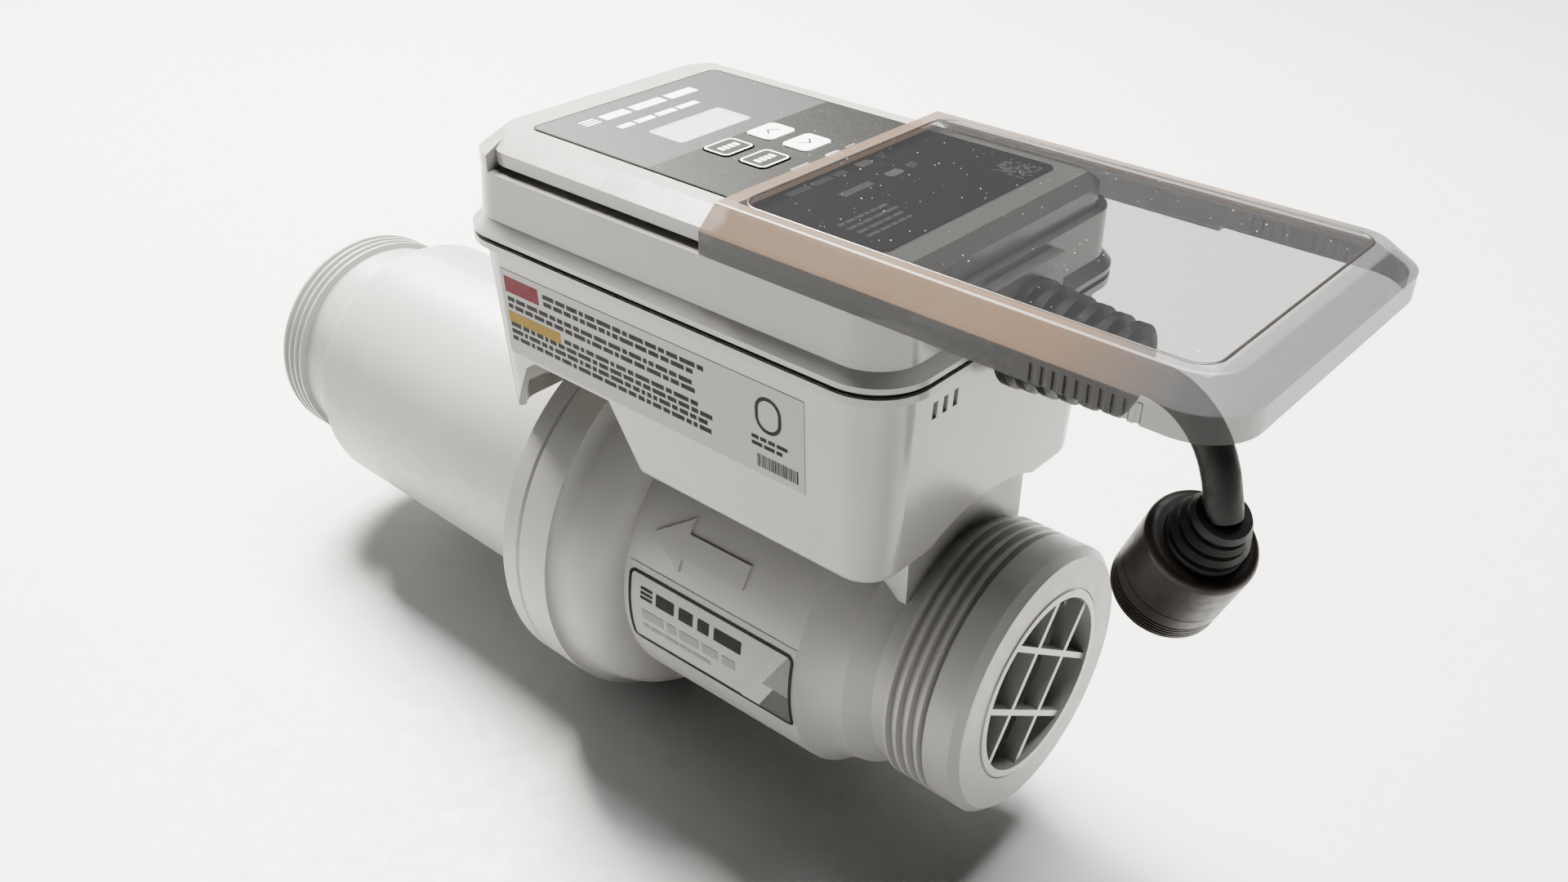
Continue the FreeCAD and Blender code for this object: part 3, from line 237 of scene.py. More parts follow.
    def roughness(self, socket: bpy.types.NodeSocket) -> None:
        """Send a roughness to the shader."""
        self.tree.links.new(socket, self.shader.inputs["Roughness"])


@dataclass(frozen=True)
class MouldedPlastic:
    """Injection-moulded plastic: faint cloudy colour, fine spark texture and handling marks."""

    name: str
    colour: tuple
    surface: Surface = Surface.SATIN
    grain_per_m: float = 2600.0
    grain_height_m: float = 0.00004
    cloud: float = 0.05

    def material(self) -> bpy.types.Material:
        """Build the plastic's material.

        Returns:
            The finished material.
        """
        bench = NodeBench(self.name)
        darker = tuple(c * (1 - self.cloud) for c in self.colour)
        clouds = bench.ramp(bench.noise(38.0), 0.35, 0.65, 0.0, 1.0)
        bench.colour(bench.blend(clouds, darker, self.colour))
        rough = self.surface.value
        bench.roughness(bench.ramp(bench.noise(160.0), 0.3, 0.7, rough * 0.85, rough * 1.2))
        bench.bump(bench.noise(self.grain_per_m, 2.0), 0.25, self.grain_height_m)
        return bench.material


@dataclass(frozen=True)
class Rubber:
    """Black rubber with a dusty bloom on it."""

    name: str
    colour: tuple = (0.004, 0.004, 0.004)
    bloom: tuple = (0.014, 0.012, 0.011)

    def material(self) -> bpy.types.Material:
        """Build the rubber's material.

        Returns:
            The finished material.
        """
        bench = NodeBench(self.name)
        dust = bench.ramp(bench.noise(120.0, 6.0), 0.45, 0.75, 0.0, 1.0)
        bench.colour(bench.blend(dust, self.colour, self.bloom))
        bench.roughness(bench.ramp(bench.noise(300.0), 0.3, 0.7, 0.42, 0.62))
        bench.shader.inputs["Specular IOR Level"].default_value = 0.22
        bench.bump(bench.noise(1800.0), 0.3, 0.00005)
        return bench.material


@dataclass(frozen=True)
class PaintedReflectionPlastic:
    """The plug's dark plastic, with patches of a slightly warmer tone: painted brownish reflection.
    """

    name: str
    colour: tuple = (0.004, 0.0035, 0.003)
    painted_warm_light: tuple = (0.018, 0.011, 0.008)

    def material(self) -> bpy.types.Material:
        """Build the plug's material.

        Returns:
            The finished material.
        """
        bench = NodeBench(self.name)
        # painted reflection: brownish patches mixed into the dark plastic's colour
        patches = bench.ramp(bench.noise(60.0, 4.0), 0.35, 0.7, 0.0, 1.0)
        bench.colour(bench.blend(patches, self.colour, self.painted_warm_light))
        bench.roughness(bench.ramp(bench.noise(400.0), 0.3, 0.7, 0.36, 0.5))
        bench.shader.inputs["Specular IOR Level"].default_value = 0.22
        bench.bump(bench.noise(2400.0), 0.3, 0.00004)
        return bench.material


@dataclass(frozen=True)
class SmokedClear:
    """The cover's smoked plastic: a satin frame and a polished window, with a little dust.

    The frame carries cream-toned painted light along its length, standing for the lit lid that
    shows through it, and is silver towards the right end, and the walls below the crease are
    darker. Each zone is a product of soft steps on Object coordinates.
    """

    name: str
    window_low: tuple
    window_high: tuple
    window_level: float
    crease_level: float
    painted_light_end: float
    # painted light: this first colour stands for the lit cream lid showing through the frame
    painted_warm_light: tuple = (0.1, 0.064, 0.042)
    silver: tuple = (0.045, 0.045, 0.047)
    dark: tuple = (0.012, 0.011, 0.011)
    window_tint: tuple = (0.012, 0.012, 0.013)
    frame_alpha: float = 0.72
    wall_alpha: float = 0.74
    window_alpha: float = 0.5
    shine: float = 0.35
    soft_level: float = 0.0004
    soft_edge: float = 0.0002
    tone_length: float = 0.03

    def material(self) -> bpy.types.Material:
        """Build the cover's material.

        Returns:
            The finished material.
        """
        bench = NodeBench(self.name)
        inside = self._inside(bench)
        below = self.crease_level - self.soft_level
        upper = bench.ramp(bench.axis("Z"), below, self.crease_level, 0, 1)
        # painted light along the frame, giving way to the silver grey towards the right end
        silver_start = self.painted_light_end + self.tone_length
        along = bench.ramp(bench.axis("X"), self.painted_light_end, silver_start, 0.0, 1.0)
        frame_colour_with_painted_light = bench.blend(along, self.painted_warm_light, self.silver)
        outer = bench.blend(upper, self.dark, frame_colour_with_painted_light)
        tinted = bench.blend(inside, outer, self.window_tint)
        specks = bench.ramp(bench.noise(1100.0, 0.0), 0.84, 0.86, 0.0, 0.8)
        dust = bench.joined("MULTIPLY", specks, inside)
        bench.colour(bench.blend(dust, tinted, (0.5, 0.49, 0.48)))
        satin = bench.ramp(bench.noise(40.0), 0.3, 0.7, 0.3, 0.34)
        clear = bench.ramp(bench.noise(60.0, 4.0), 0.3, 0.8, 0.04, 0.08)
        bench.roughness(bench.mixed(inside, satin, clear))
        bench.shader.inputs["Specular IOR Level"].default_value = self.shine
        outside = bench.ramp(upper, 0.0, 1.0, self.wall_alpha, self.frame_alpha)
        polished = bench.ramp(inside, 0.0, 1.0, 1.0, self.window_alpha)
        see_through = bench.joined("MINIMUM", outside, polished)
        alpha = bench.joined("MAXIMUM", see_through, bench.joined("MULTIPLY", dust, 0.8))
        bench.tree.links.new(alpha, bench.shader.inputs["Alpha"])
        return bench.material

    def _inside(self, bench: NodeBench) -> bpy.types.NodeSocket:
        """A mask that is 1 inside the polished window, from the product of five steps."""
        below = self.window_level - self.soft_level
        steps = [bench.ramp(bench.axis("Z"), below, self.window_level, 0, 1)]
        for letter, low, high in zip("XY", self.window_low, self.window_high):
            place = bench.axis(letter)
            steps.append(bench.ramp(place, low - self.soft_edge, low, 0, 1))
            steps.append(bench.ramp(place, high, high + self.soft_edge, 1, 0))
        mask = steps[0]
        for step in steps[1:]:
            mask = bench.joined("MULTIPLY", mask, step)
        return mask


@dataclass(frozen=True)
class TwoToneFilm:
    """The panel's printed film: mid grey behind the display, near black around the keys."""

    name: str
    split: float
    grey: tuple = (0.028, 0.028, 0.03)
    black: tuple = (0.002, 0.002, 0.0022)

    def material(self) -> bpy.types.Material:
        """Build the film's material.

        Returns:
            The finished material.
        """
        bench = NodeBench(self.name)
        side = bench.ramp(bench.axis("X"), self.split - 0.0001, self.split + 0.0001, 0.0, 1.0)
        print_colour = bench.blend(side, self.grey, self.black)
        dust = bench.ramp(bench.noise(900.0, 0.0), 0.84, 0.87, 0.0, 0.6)
        bench.colour(bench.blend(dust, print_colour, (0.3, 0.3, 0.3)))
        bench.roughness(bench.ramp(bench.noise(1200.0, 2.0), 0.35, 0.7, 0.4, 0.46))
        bench.shader.inputs["Specular IOR Level"].default_value = 0.12
        return bench.material


@dataclass(frozen=True)
class Ink:
    """Screen-printed ink, a little uneven."""

    name: str
    colour: tuple
    wear: float = 0.15
    shine: float = 0.08

    def material(self) -> bpy.types.Material:
        """Build the ink's material.

        Returns:
            The finished material.
        """
        bench = NodeBench(self.name)
        thin = tuple(c * (1 - self.wear) for c in self.colour)
        patches = bench.ramp(bench.noise(1500.0, 4.0), 0.35, 0.65, 0.0, 1.0)
        bench.colour(bench.blend(patches, thin, self.colour))
        bench.roughness(bench.ramp(bench.noise(600.0), 0.3, 0.7, 0.5, 0.62))
        bench.shader.inputs["Specular IOR Level"].default_value = self.shine
        return bench.material


@dataclass(frozen=True)
class ClearPane:
    """A thin clear pane with a faint haze."""

    name: str
    colour: tuple = (0.62, 0.63, 0.62)
    alpha: float = 0.45

    def material(self) -> bpy.types.Material:
        """Build the pane's material.

        Returns:
            The finished material.
        """
        bench = NodeBench(self.name)
        haze = bench.ramp(bench.noise(200.0, 5.0), 0.3, 0.8, 0.0, 1.0)
        bench.colour(bench.blend(haze, self.colour, tuple(min(1, c * 1.2) for c in self.colour)))
        bench.roughness(bench.ramp(haze, 0.0, 1.0, 0.1, 0.2))
        bench.shader.inputs["Alpha"].default_value = self.alpha
        return bench.material


@dataclass(frozen=True)
class Metal:
    """Turned or rolled metal with fine streaks."""

    name: str
    colour: tuple
    surface: Surface = Surface.SATIN

    def material(self) -> bpy.types.Material:
        """Build the metal's material.

        Returns:
            The finished material.
        """
        bench = NodeBench(self.name)
        streaks = bench.noise(900.0, 6.0)
        darker = tuple(c * 0.75 for c in self.colour)
        bench.colour(bench.blend(streaks, darker, self.colour))
        rough = self.surface.value
        bench.roughness(bench.ramp(streaks, 0.3, 0.7, rough * 0.8, rough * 1.2))
        bench.shader.inputs["Metallic"].default_value = 1.0
        return bench.material


@dataclass(frozen=True)
class BoardLaminate:
    """Green circuit board with a faint copper pattern under the lacquer."""

    name: str

    def material(self) -> bpy.types.Material:
        """Build the laminate's material.

        Returns:
            The finished material.
        """
        bench = NodeBench(self.name)
        cells = bench.tree.nodes.new("ShaderNodeTexVoronoi")
        cells.distance = "MANHATTAN"
        cells.inputs["Scale"].default_value = 260.0
        bench.tree.links.new(bench.place, cells.inputs["Vector"])
        tracks = bench.ramp(cells.outputs["Distance"], 0.35, 0.4, 0.0, 1.0)
        bench.colour(bench.blend(tracks, (0.02, 0.11, 0.05), (0.05, 0.2, 0.08)))
        bench.roughness(bench.ramp(bench.noise(200.0), 0.3, 0.7, 0.25, 0.4))
        return bench.material


# ---------------------------------------------------------------- surfaces


def grid_faces(rows: int, columns: int, closed: bool) -> np.ndarray:
    """Corner numbers of the quads between neighbouring points of a grid.

    Args:
        rows: Points along the first parameter.
        columns: Points along the second parameter.
        closed: Whether the last column joins the first.

    Returns:
        An array of quads, four point numbers each.
    """
    across = columns if closed else columns - 1
    row, column = np.meshgrid(np.arange(rows - 1), np.arange(across), indexing="ij")
    following = (column + 1) % columns
    quads = np.stack([
        row * columns + column, row * columns + following,
        (row + 1) * columns + following, (row + 1) * columns + column], axis=-1)
    return quads.reshape(-1, 4)


def surface_object(
    name: str, points: np.ndarray, faces: np.ndarray, material: bpy.types.Material,
    smooth: bool = True,
) -> bpy.types.Object:
    """Make one mesh object from arrays of points and faces.

    Args:
        name: The object's name.
        points: Points in metres, one row each.
        faces: Point numbers of each face.
        material: Its material.
        smooth: Whether faces are shaded smooth.

    Returns:
        The object, linked to the scene.
    """
    mesh = bpy.data.meshes.new(name)
    mesh.from_pydata(points.tolist(), [], faces.tolist())
    mesh.polygons.foreach_set("use_smooth", np.full(len(mesh.polygons), smooth))
    mesh.materials.append(material)
    mesh.update()
    piece = bpy.data.objects.new(name, mesh)
    bpy.context.scene.collection.objects.link(piece)
    return piece


def point_outwards(piece: bpy.types.Object) -> None:
    """Merge a closed piece's doubled points and turn its faces outwards."""
    mesh = bmesh.new()
    mesh.from_mesh(piece.data)
    bmesh.ops.remove_doubles(mesh, verts=mesh.verts, dist=1e-6)
    bmesh.ops.recalc_face_normals(mesh, faces=mesh.faces)
    mesh.to_mesh(piece.data)
    mesh.free()
    piece.data.update()


def rounded_path(
    low: tuple, high: tuple, radius: float, level: float, corner_points: int = 10
) -> np.ndarray:
    """Points round a rectangle with round corners.

    Each corner is centre + radius * (cos t, sin t) over a quarter turn.

    Args:
        low: Smaller x and y.
        high: Larger x and y.
        radius: Corner radius.
        level: Height of every point.
        corner_points: Points on each corner.

    Returns:
        An array of points in metres.
    """
    centres = np.array([
        (high[0] - radius, high[1] - radius), (low[0] + radius, high[1] - radius),
        (low[0] + radius, low[1] + radius), (high[0] - radius, low[1] + radius)])
    turn = np.linspace(0, np.pi / 2, corner_points)
    angles = turn[None, :] + np.arange(4)[:, None] * np.pi / 2
    flat = centres[:, None, :] + radius * np.stack([np.cos(angles), np.sin(angles)], axis=-1)
    flat = flat.reshape(-1, 2)
    return np.column_stack([flat, np.full(len(flat), level)])


def evened(path: np.ndarray, count: int = 240) -> np.ndarray:
    """The same closed path with its points at even steps, so that it can follow a rolled area.

    Args:
        path: Points round a closed outline.
        count: Points wanted.

    Returns:
        An array of points, each at the same share of the way round.
    """
    closed = np.vstack([path, path[:1]])
    steps = np.concatenate([[0.0], np.cumsum(np.linalg.norm(np.diff(closed, axis=0), axis=1))])
    share = np.linspace(0.0, steps[-1], count, endpoint=False)
    return np.column_stack([np.interp(share, steps, closed[:, i]) for i in range(3)])


def band_round(
    name: str, path: np.ndarray, profile: np.ndarray, material: bpy.types.Material
) -> bpy.types.Object:
    """A closed band carried round a level closed path.

    The point at parameters (i, j) is path[i] + profile[j, 0] * outward normal of the path
    + profile[j, 1] * up.

    Args:
        name: The object's name.
        path: Closed path, anticlockwise from above.
        profile: Closed section of (out, up) offsets.
        material: Its material.

    Returns:
        The object.
    """
    tangent = np.roll(path, -1, axis=0) - np.roll(path, 1, axis=0)
    outward = np.column_stack([tangent[:, 1], -tangent[:, 0], np.zeros(len(path))])
    outward /= np.linalg.norm(outward, axis=1)[:, None]
    up = np.array([0.0, 0.0, 1.0])
    points = (path[:, None, :] + profile[None, :, 0, None] * outward[:, None, :]
              + profile[None, :, 1, None] * up)
    count, section = points.shape[:2]
    faces = grid_faces(count + 1, section, closed=True) % (count * section)
    piece = surface_object(name, points.reshape(-1, 3), faces, material)
    point_outwards(piece)
    return piece


@dataclass
class PrintArea:
    """A flat or rolled area that marks are printed on, with its own (u, v) measure in metres.

    On an UP area a point is origin + (v, u, 0): u runs along +Y and v along +X, as the panel
    reads. On a SIDE area it is origin + (u, tilt * v, v). On a BARREL area v is wound round the
    pipe axis: the point is (x0 + u, -r cos a, r sin a) with a = (z0 + v) / r.
    """

    facing: Facing
    origin: tuple
    tilt: float = 0.0
    radius: float = 0.0
    taper: float = 0.0

    def points(self, u: np.ndarray, v: np.ndarray, lift: float) -> np.ndarray:
        """Place (u, v) points in space.

        Args:
            u: Distances along the reading direction.
            v: Distances up the area.
            lift: Height above it.

        Returns:
            The points.
        """
        x0, y0, z0 = self.origin
        if self.facing is Facing.UP:
            return np.stack([x0 + v, y0 + u, np.full_like(u, z0 + lift)], axis=-1)
        if self.facing is Facing.SIDE:
            return np.stack([x0 + u, y0 + self.tilt * v - lift, z0 + v], axis=-1)
        angle = (z0 + v) / self.radius
        reach = self.radius + lift + self.taper * u
        return np.stack([x0 + u, -reach * np.cos(angle), reach * np.sin(angle)], axis=-1)

    def patches(
        self, name: str, rectangles: np.ndarray, material: bpy.types.Material,
        lift: float = 0.00004, cells: int = 1,
    ) -> bpy.types.Object:
        """Print a set of rectangles as one thin piece.

        Each rectangle's point at parameters (s, t) is low corner + (s * width, t * height).

        Args:
            name: The object's name.
            rectangles: Rows of u low, u high, v low, v high.
            material: The ink.
            lift: Height above the area.
            cells: Divisions of each rectangle each way, so that it follows a rolled area.

        Returns:
            The object.
        """
        share = np.linspace(0, 1, cells + 1)
        s, t = np.meshgrid(share, share, indexing="ij")
        low_u, high_u, low_v, high_v = (rectangles[:, i, None, None] for i in range(4))
        points = self.points(low_u + s * (high_u - low_u), low_v + t * (high_v - low_v), lift)
        faces = grid_faces(cells + 1, cells + 1, closed=False)
        step = (cells + 1) ** 2
        every = faces[None] + np.arange(len(rectangles))[:, None, None] * step
        quads = every.reshape(-1, 4)
        if self.facing is Facing.UP:
            quads = quads[:, ::-1]
        return surface_object(name, points.reshape(-1, 3), quads, material, smooth=False)


def word_bars(
    rng: np.random.Generator, low_u: float, high_u: float, levels: list, height: float,
    word: float,
) -> np.ndarray:
    """Rectangles that stand for lines of small print.

    Args:
        rng: Seeded random numbers.
        low_u: Start of each line.
        high_u: End of each line.
        levels: Bottom of each line.
        height: Height of a line's bars.
        word: Mean length of a bar.

    Returns:
        Rows of u low, u high, v low, v high.
    """
    gap = height * WORD_GAP
    count = int((high_u - low_u) / word / 0.6) + 4
    rows = []
    for level in levels:
        lengths = word * rng.uniform(*WORD_SPREAD, size=count)
        ends = low_u + np.cumsum(lengths + gap)
        starts = ends - lengths - gap
        keep = ends - gap < high_u
        rows.append(np.column_stack([
            starts[keep], ends[keep] - gap,
            np.full(keep.sum(), level), np.full(keep.sum(), level + height)]))
    return np.concatenate(rows)


def ring_patch(
    name: str, area: PrintArea, low: tuple, high: tuple, radius: float, width: float,
    material: bpy.types.Material, lift: float = 0.00005,
) -> bpy.types.Object:
    """A printed outline: the strip between a rounded rectangle and the same one drawn smaller.

    Args:
        name: The object's name.
        area: Where it is printed.
        low: Smaller u and v.
        high: Larger u and v.
        radius: Outer corner radius.
        width: Width of the strip.
        material: The ink.
        lift: Height above the area.

    Returns:
        The object.
    """
    outer = evened(rounded_path(low, high, radius, 0.0))
    inner = evened(rounded_path((low[0] + width, low[1] + width),
                                (high[0] - width, high[1] - width),
                                max(radius - width, 0.0001), 0.0))
    rings = np.stack([outer, inner])
    points = area.points(rings[..., 0], rings[..., 1], lift)
    quads = grid_faces(2, len(outer), closed=True)
    if area.facing is Facing.UP:
        quads = quads[:, ::-1]
    return surface_object(name, points.reshape(-1, 3), quads[:, ::-1], material, smooth=False)


def dress(node: str, material: bpy.types.Material) -> None:
    """Give a CAD node's every slot one material."""
    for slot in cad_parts[node].material_slots:
        slot.material = material
    log.info("dressed %s with %s", node, material.name)


# ---------------------------------------------------------------- the object


@dataclass
class FlowCell:
    """The pipe-like cell: two white mouldings, the inlet grille and the electrode pack."""

    white: tuple = (0.27, 0.267, 0.256)
    inner_white: tuple = (0.25, 0.245, 0.235)

    def build(self) -> None:
        """Dress every node of the cell."""
        shell = MouldedPlastic("cell_white", self.white, Surface.SATIN).material()
        for node in ("inlet_body", "outlet_body"):
            dress(node, shell)
        dress("inlet_grille", MouldedPlastic("grille_white", self.white, Surface.GLOSSY,
                                             cloud=0.08).material())
        dress("electrode_plates", Metal("coated_plate", (0.1, 0.1, 0.11)).material())
        inner = MouldedPlastic("inner_white", self.inner_white).material()
        for node in ("plate_combs", "flow_switch_body", "flow_paddle"):
            dress(node, inner)
        steel = Metal("stainless", (0.55, 0.54, 0.52)).material()
        for node in ("electrode_terminals", "paddle_pin", "temperature_probe", "tub_screws",
                     "board_screws", "power_screws"):
            dress(node, steel)
        seal = Rubber("seal_rubber").material()
        for node in ("terminal_seals", "rim_gasket"):
            dress(node, seal)


@dataclass
class ControlBox:
    """Tub, lid and the boards inside."""

    white: tuple = (0.27, 0.266, 0.252)

    def build(self) -> None:
        """Dress the housing and what it holds."""
        shell = MouldedPlastic("housing_white", self.white, Surface.GLOSSY,
                               grain_height_m=0.00002).material()
        for node in ("housing_tub", "housing_lid"):
            dress(node, shell)
        board = BoardLaminate("board_green").material()
        for node in ("control_board", "power_board"):
            dress(node, board)
        dark = MouldedPlastic("component_black", (0.03, 0.03, 0.03)).material()
        for node in ("power_parts", "key_switches"):
            dress(node, dark)


@dataclass
class ControlPanel:
    """Printed film, display, keys and lights, with generic marks in place of words."""

    film_split: float = -0.1148
    mark_seed: int = 7
    key_inset: float = 0.0012
    key_corner: float = 0.0018
    outline_width: float = 0.0006

    def build(self) -> None:
        """Dress the panel's nodes and print its marks."""
        dress("control_film", TwoToneFilm("panel_film", self.film_split).material())
        dress("display_window", ClearPane("window_clear").material())
        dress("display_module", MouldedPlastic("display_grey", (0.42, 0.43, 0.42),
                                               Surface.GLOSSY).material())
        dress("status_lights", MouldedPlastic("light_grey", (0.2, 0.2, 0.2),
                                              Surface.SATIN).material())
        self.white_ink = Ink("white_ink", (0.75, 0.75, 0.75)).material()
        self.grey_ink = Ink("grey_ink", (0.12, 0.12, 0.12)).material()
        self.black_ink = Ink("black_ink", (0.003, 0.003, 0.003)).material()
        white_key = Ink("key_white", (0.8, 0.8, 0.79)).material()
        black_key = Ink("key_black", (0.004, 0.004, 0.004)).material()
        for node in ("key_up", "key_down"):
            dress(node, white_key)
        for node in ("key_info", "key_boost"):
            dress(node, black_key)
        self.film_marks()
        self.light_marks()
        self.outlined_key("key_info", "info_key")
        self.outlined_key("key_boost", "boost_key")
        self.chevron_key("key_up", "up_key", -1.0)
        self.chevron_key("key_down", "down_key", 1.0)

    def area(self, node: str) -> PrintArea:
        """The print area on a node's top, with u and v measured from its middle."""
        low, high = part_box(node)
        middle = (low + high) / 2
        return PrintArea(Facing.UP, (middle.x, middle.y, high.z))

    def printed(self, piece: bpy.types.Object, body: str, slot: str) -> None:
        """Put a printed piece on its body."""
        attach(piece, body)
        log.info("printed %s", piece.name)

    def film_marks(self) -> None:
        """Bars for the heading and the line under it, on the grey part of the film."""
        low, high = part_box("control_film")
        area = PrintArea(Facing.UP, (0.0, 0.0, high.z))
        rng = np.random.default_rng(self.mark_seed)
        heading = word_bars(rng, -0.0185, 0.0235, [-0.1545], 0.0042, 0.0085)
        line = word_bars(rng, -0.0205, 0.0205, [-0.1445], 0.0026, 0.0075)
        badge = np.array([(-0.0262, -0.0205, -0.1545 + k * 0.0016, -0.1537 + k * 0.0016)
                          for k in range(3)])
        self.printed(area.patches("panel_heading", np.concatenate([heading, badge]),
                                  self.white_ink), UNIT, "key_print")
        self.printed(area.patches("panel_line", line, self.white_ink), UNIT, "key_print")
        edge = ring_patch("panel_edge", area, (low.y, low.x), (high.y, high.x), 0.0025, 0.0006,
                          self.black_ink)
        self.printed(edge, UNIT, "panel_film")

    def light_marks(self) -> None:
        """Bars for the lights' names, and a small mark beyond each light."""
        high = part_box("control_film")[1]
        area = PrintArea(Facing.UP, (0.0, 0.0, high.z))
        rng = np.random.default_rng(self.mark_seed + 1)
        low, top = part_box("status_lights")
        pitch = (top.x - low.x - 0.0032) / 2
        rows = []
        for number, start in enumerate((-0.0125, -0.0265, -0.0175)):
            level = low.x + 0.0016 + number * pitch - 0.0013
            rows.append(word_bars(rng, start, -0.0005, [level], 0.0026, 0.009))
            for bar in range(3):
                rows.append(np.array([[0.0105, 0.0145 - bar * 0.0008,
                                       level + bar * 0.0011, level + 0.0006 + bar * 0.0011]]))
        rows.append(word_bars(rng, -0.033, -0.012, [-0.0535, -0.0505, -0.0475, -0.0445], 0.0012,
                              0.004))
        self.printed(area.patches("light_names", np.concatenate(rows), self.grey_ink), UNIT,
                     "key_print")
        code = self.dotted_square(rng, (0.0235, -0.0475), 0.0105, 13)
        self.printed(area.patches("dotted_square", code, self.grey_ink), UNIT, "key_print")

    def dotted_square(
        self, rng: np.random.Generator, corner: tuple, side: float, cells: int
    ) -> np.ndarray:
        """A square of dots in no readable pattern.

        Args:
            rng: Seeded random numbers.
            corner: Smaller u and v.
            side: Side of the square.
            cells: Dots along a side.

        Returns:
            Rows of u low, u high, v low, v high.
        """
        step = side / cells
        u, v = np.meshgrid(np.arange(cells) * step, np.arange(cells) * step)
        keep = rng.random(u.shape) < 0.5
        return np.column_stack([
            corner[0] + u[keep], corner[0] + u[keep] + step * 0.95,
            corner[1] + v[keep], corner[1] + v[keep] + step * 0.95])

    def outlined_key(self, node: str, body: str) -> None:
        """White outline and a short bar on a black key."""
        area = self.area(node)
        low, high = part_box(node)
        half_u = (high.y - low.y) / 2 - self.key_inset
        half_v = (high.x - low.x) / 2 - self.key_inset
        ring = ring_patch(node + "_outline", area, (-half_u, -half_v), (half_u, half_v),
                          self.key_corner, self.outline_width, self.white_ink)
        self.printed(ring, body, "key_print")
        bars = np.array([(-0.0034 + 0.0019 * k, -0.0034 + 0.0019 * k + 0.0013, -0.0012, 0.0012)
                         for k in range(4)])
        self.printed(area.patches(node + "_legend", bars, self.white_ink), body, "key_print")

    def chevron_key(self, node: str, body: str, point: float) -> None:
        """A black chevron on a white key.

        The chevron's point at parameters (i, j) is (u_i, point * (depth * (1 - |u_i| / half)
        + j * thickness)), which gives two straight strokes that meet in the middle.

        Args:
            node: The key.
            body: The body it rides on.
            point: -1 where the chevron points up the panel, 1 where it points down.
        """
        area = self.area(node)
        half, depth, thick = 0.0024, 0.0024, 0.0008
        u = np.array([-half, 0.0, half])
        ridge = point * depth * (1 - np.abs(u) / half) - point * depth / 2
        rings_u = np.stack([u, u])
        rings_v = np.stack([ridge - thick / 2, ridge + thick / 2])
        points = area.points(rings_u, rings_v, 0.00005)
        quads = grid_faces(2, 3, closed=False)
        piece = surface_object(node + "_chevron", points.reshape(-1, 3), quads, self.black_ink,
                               smooth=False)
        self.printed(piece, body, "panel_film")


@dataclass
class SlidingCover:
    """Smoked cover with a polished window ringed by a thin dark line of painted shade."""

    frame_width: float = 0.0045
    edge_shade_size: float = 0.00045
    corner: float = 0.006
    skin: float = 0.0026
    crease_drop: float = 0.0056
    silver_length: float = 0.045
    chamfer: float = 0.0063
    side_share: float = 0.75

    def build(self) -> None:
        """Dress the cover and add its window's edge."""
        low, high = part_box("sliding_cover")
        first = (low.x + self.frame_width, low.y + self.chamfer + self.frame_width * self.side_share)
        last = (high.x - self.chamfer - self.frame_width,
                high.y - self.chamfer - self.frame_width * self.side_share)
        dress("sliding_cover", SmokedClear(
            "smoked_clear", first, last, high.z - self.skin, high.z - self.crease_drop,
            high.x - self.silver_length).material())
        # painted shade: a thin dark ring round the window stands for the shade along its edge
        angle = np.linspace(0, 2 * np.pi, 8, endpoint=False)
        section = self.edge_shade_size * np.stack([np.cos(angle), 0.35 * np.sin(angle)], axis=-1)
        path = rounded_path(first, last, self.corner, high.z)
        dark = MouldedPlastic("window_edge_painted_shade", (0.015, 0.014, 0.014), Surface.GLOSSY).material()
        edge = band_round("cover_window_edge_shade", path, section, dark)
        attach(edge, "cover")
        log.info("window edge %d points", len(path))


@dataclass
class Lead:
    """Strain relief, cable and plug."""

    diameter: float = 0.0094
    length: float = 0.0762
    route: tuple = (
        (-0.0175, 0.0, 0.1075), (-0.0085, 0.0, 0.1077), (0.003, 0.0, 0.1076),
        (0.013, 0.0, 0.1077), (0.0216, 0.0, 0.1072), (0.0294, -0.0008, 0.1046),
        (0.0364, -0.002, 0.0989), (0.0415, -0.003, 0.0896), (0.04325, -0.0029, 0.0804),
    )

    def build(self) -> None:
        """Make the cable and dress the pieces on it."""
        rubber = Rubber("lead_rubber").material()
        self.cable(rubber)
        dress("strain_relief", Rubber("relief_rubber").material())
        dress("plug_boot", rubber)
        plug = PaintedReflectionPlastic("plug_plastic").material()
        for node in ("plug_body", "plug_ring"):
            dress(node, plug)
        dress("plug_pins", Metal("contact_brass", (0.6, 0.45, 0.2)).material())

    def cable(self, rubber: bpy.types.Material) -> None:
        """The cable: a round section along one smooth spline through the route."""
        curve = bpy.data.curves.new("power_lead", "CURVE")
        curve.dimensions = "3D"
        curve.bevel_depth = self.diameter / 2
        curve.bevel_resolution = 8
        curve.resolution_u = 16
        curve.use_fill_caps = True
        spline = curve.splines.new("NURBS")
        spline.points.add(len(self.route) - 1)
        for point, place in zip(spline.points, self.route):
            point.co = (*place, 1.0)
        spline.order_u = 3
        spline.use_endpoint_u = True
        curve.materials.append(rubber)
        lead = bpy.data.objects.new("power_lead", curve)
        bpy.context.scene.collection.objects.link(lead)
        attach(lead, UNIT)
        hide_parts("power_cable")
        log.info("lead of %d route points", len(self.route))


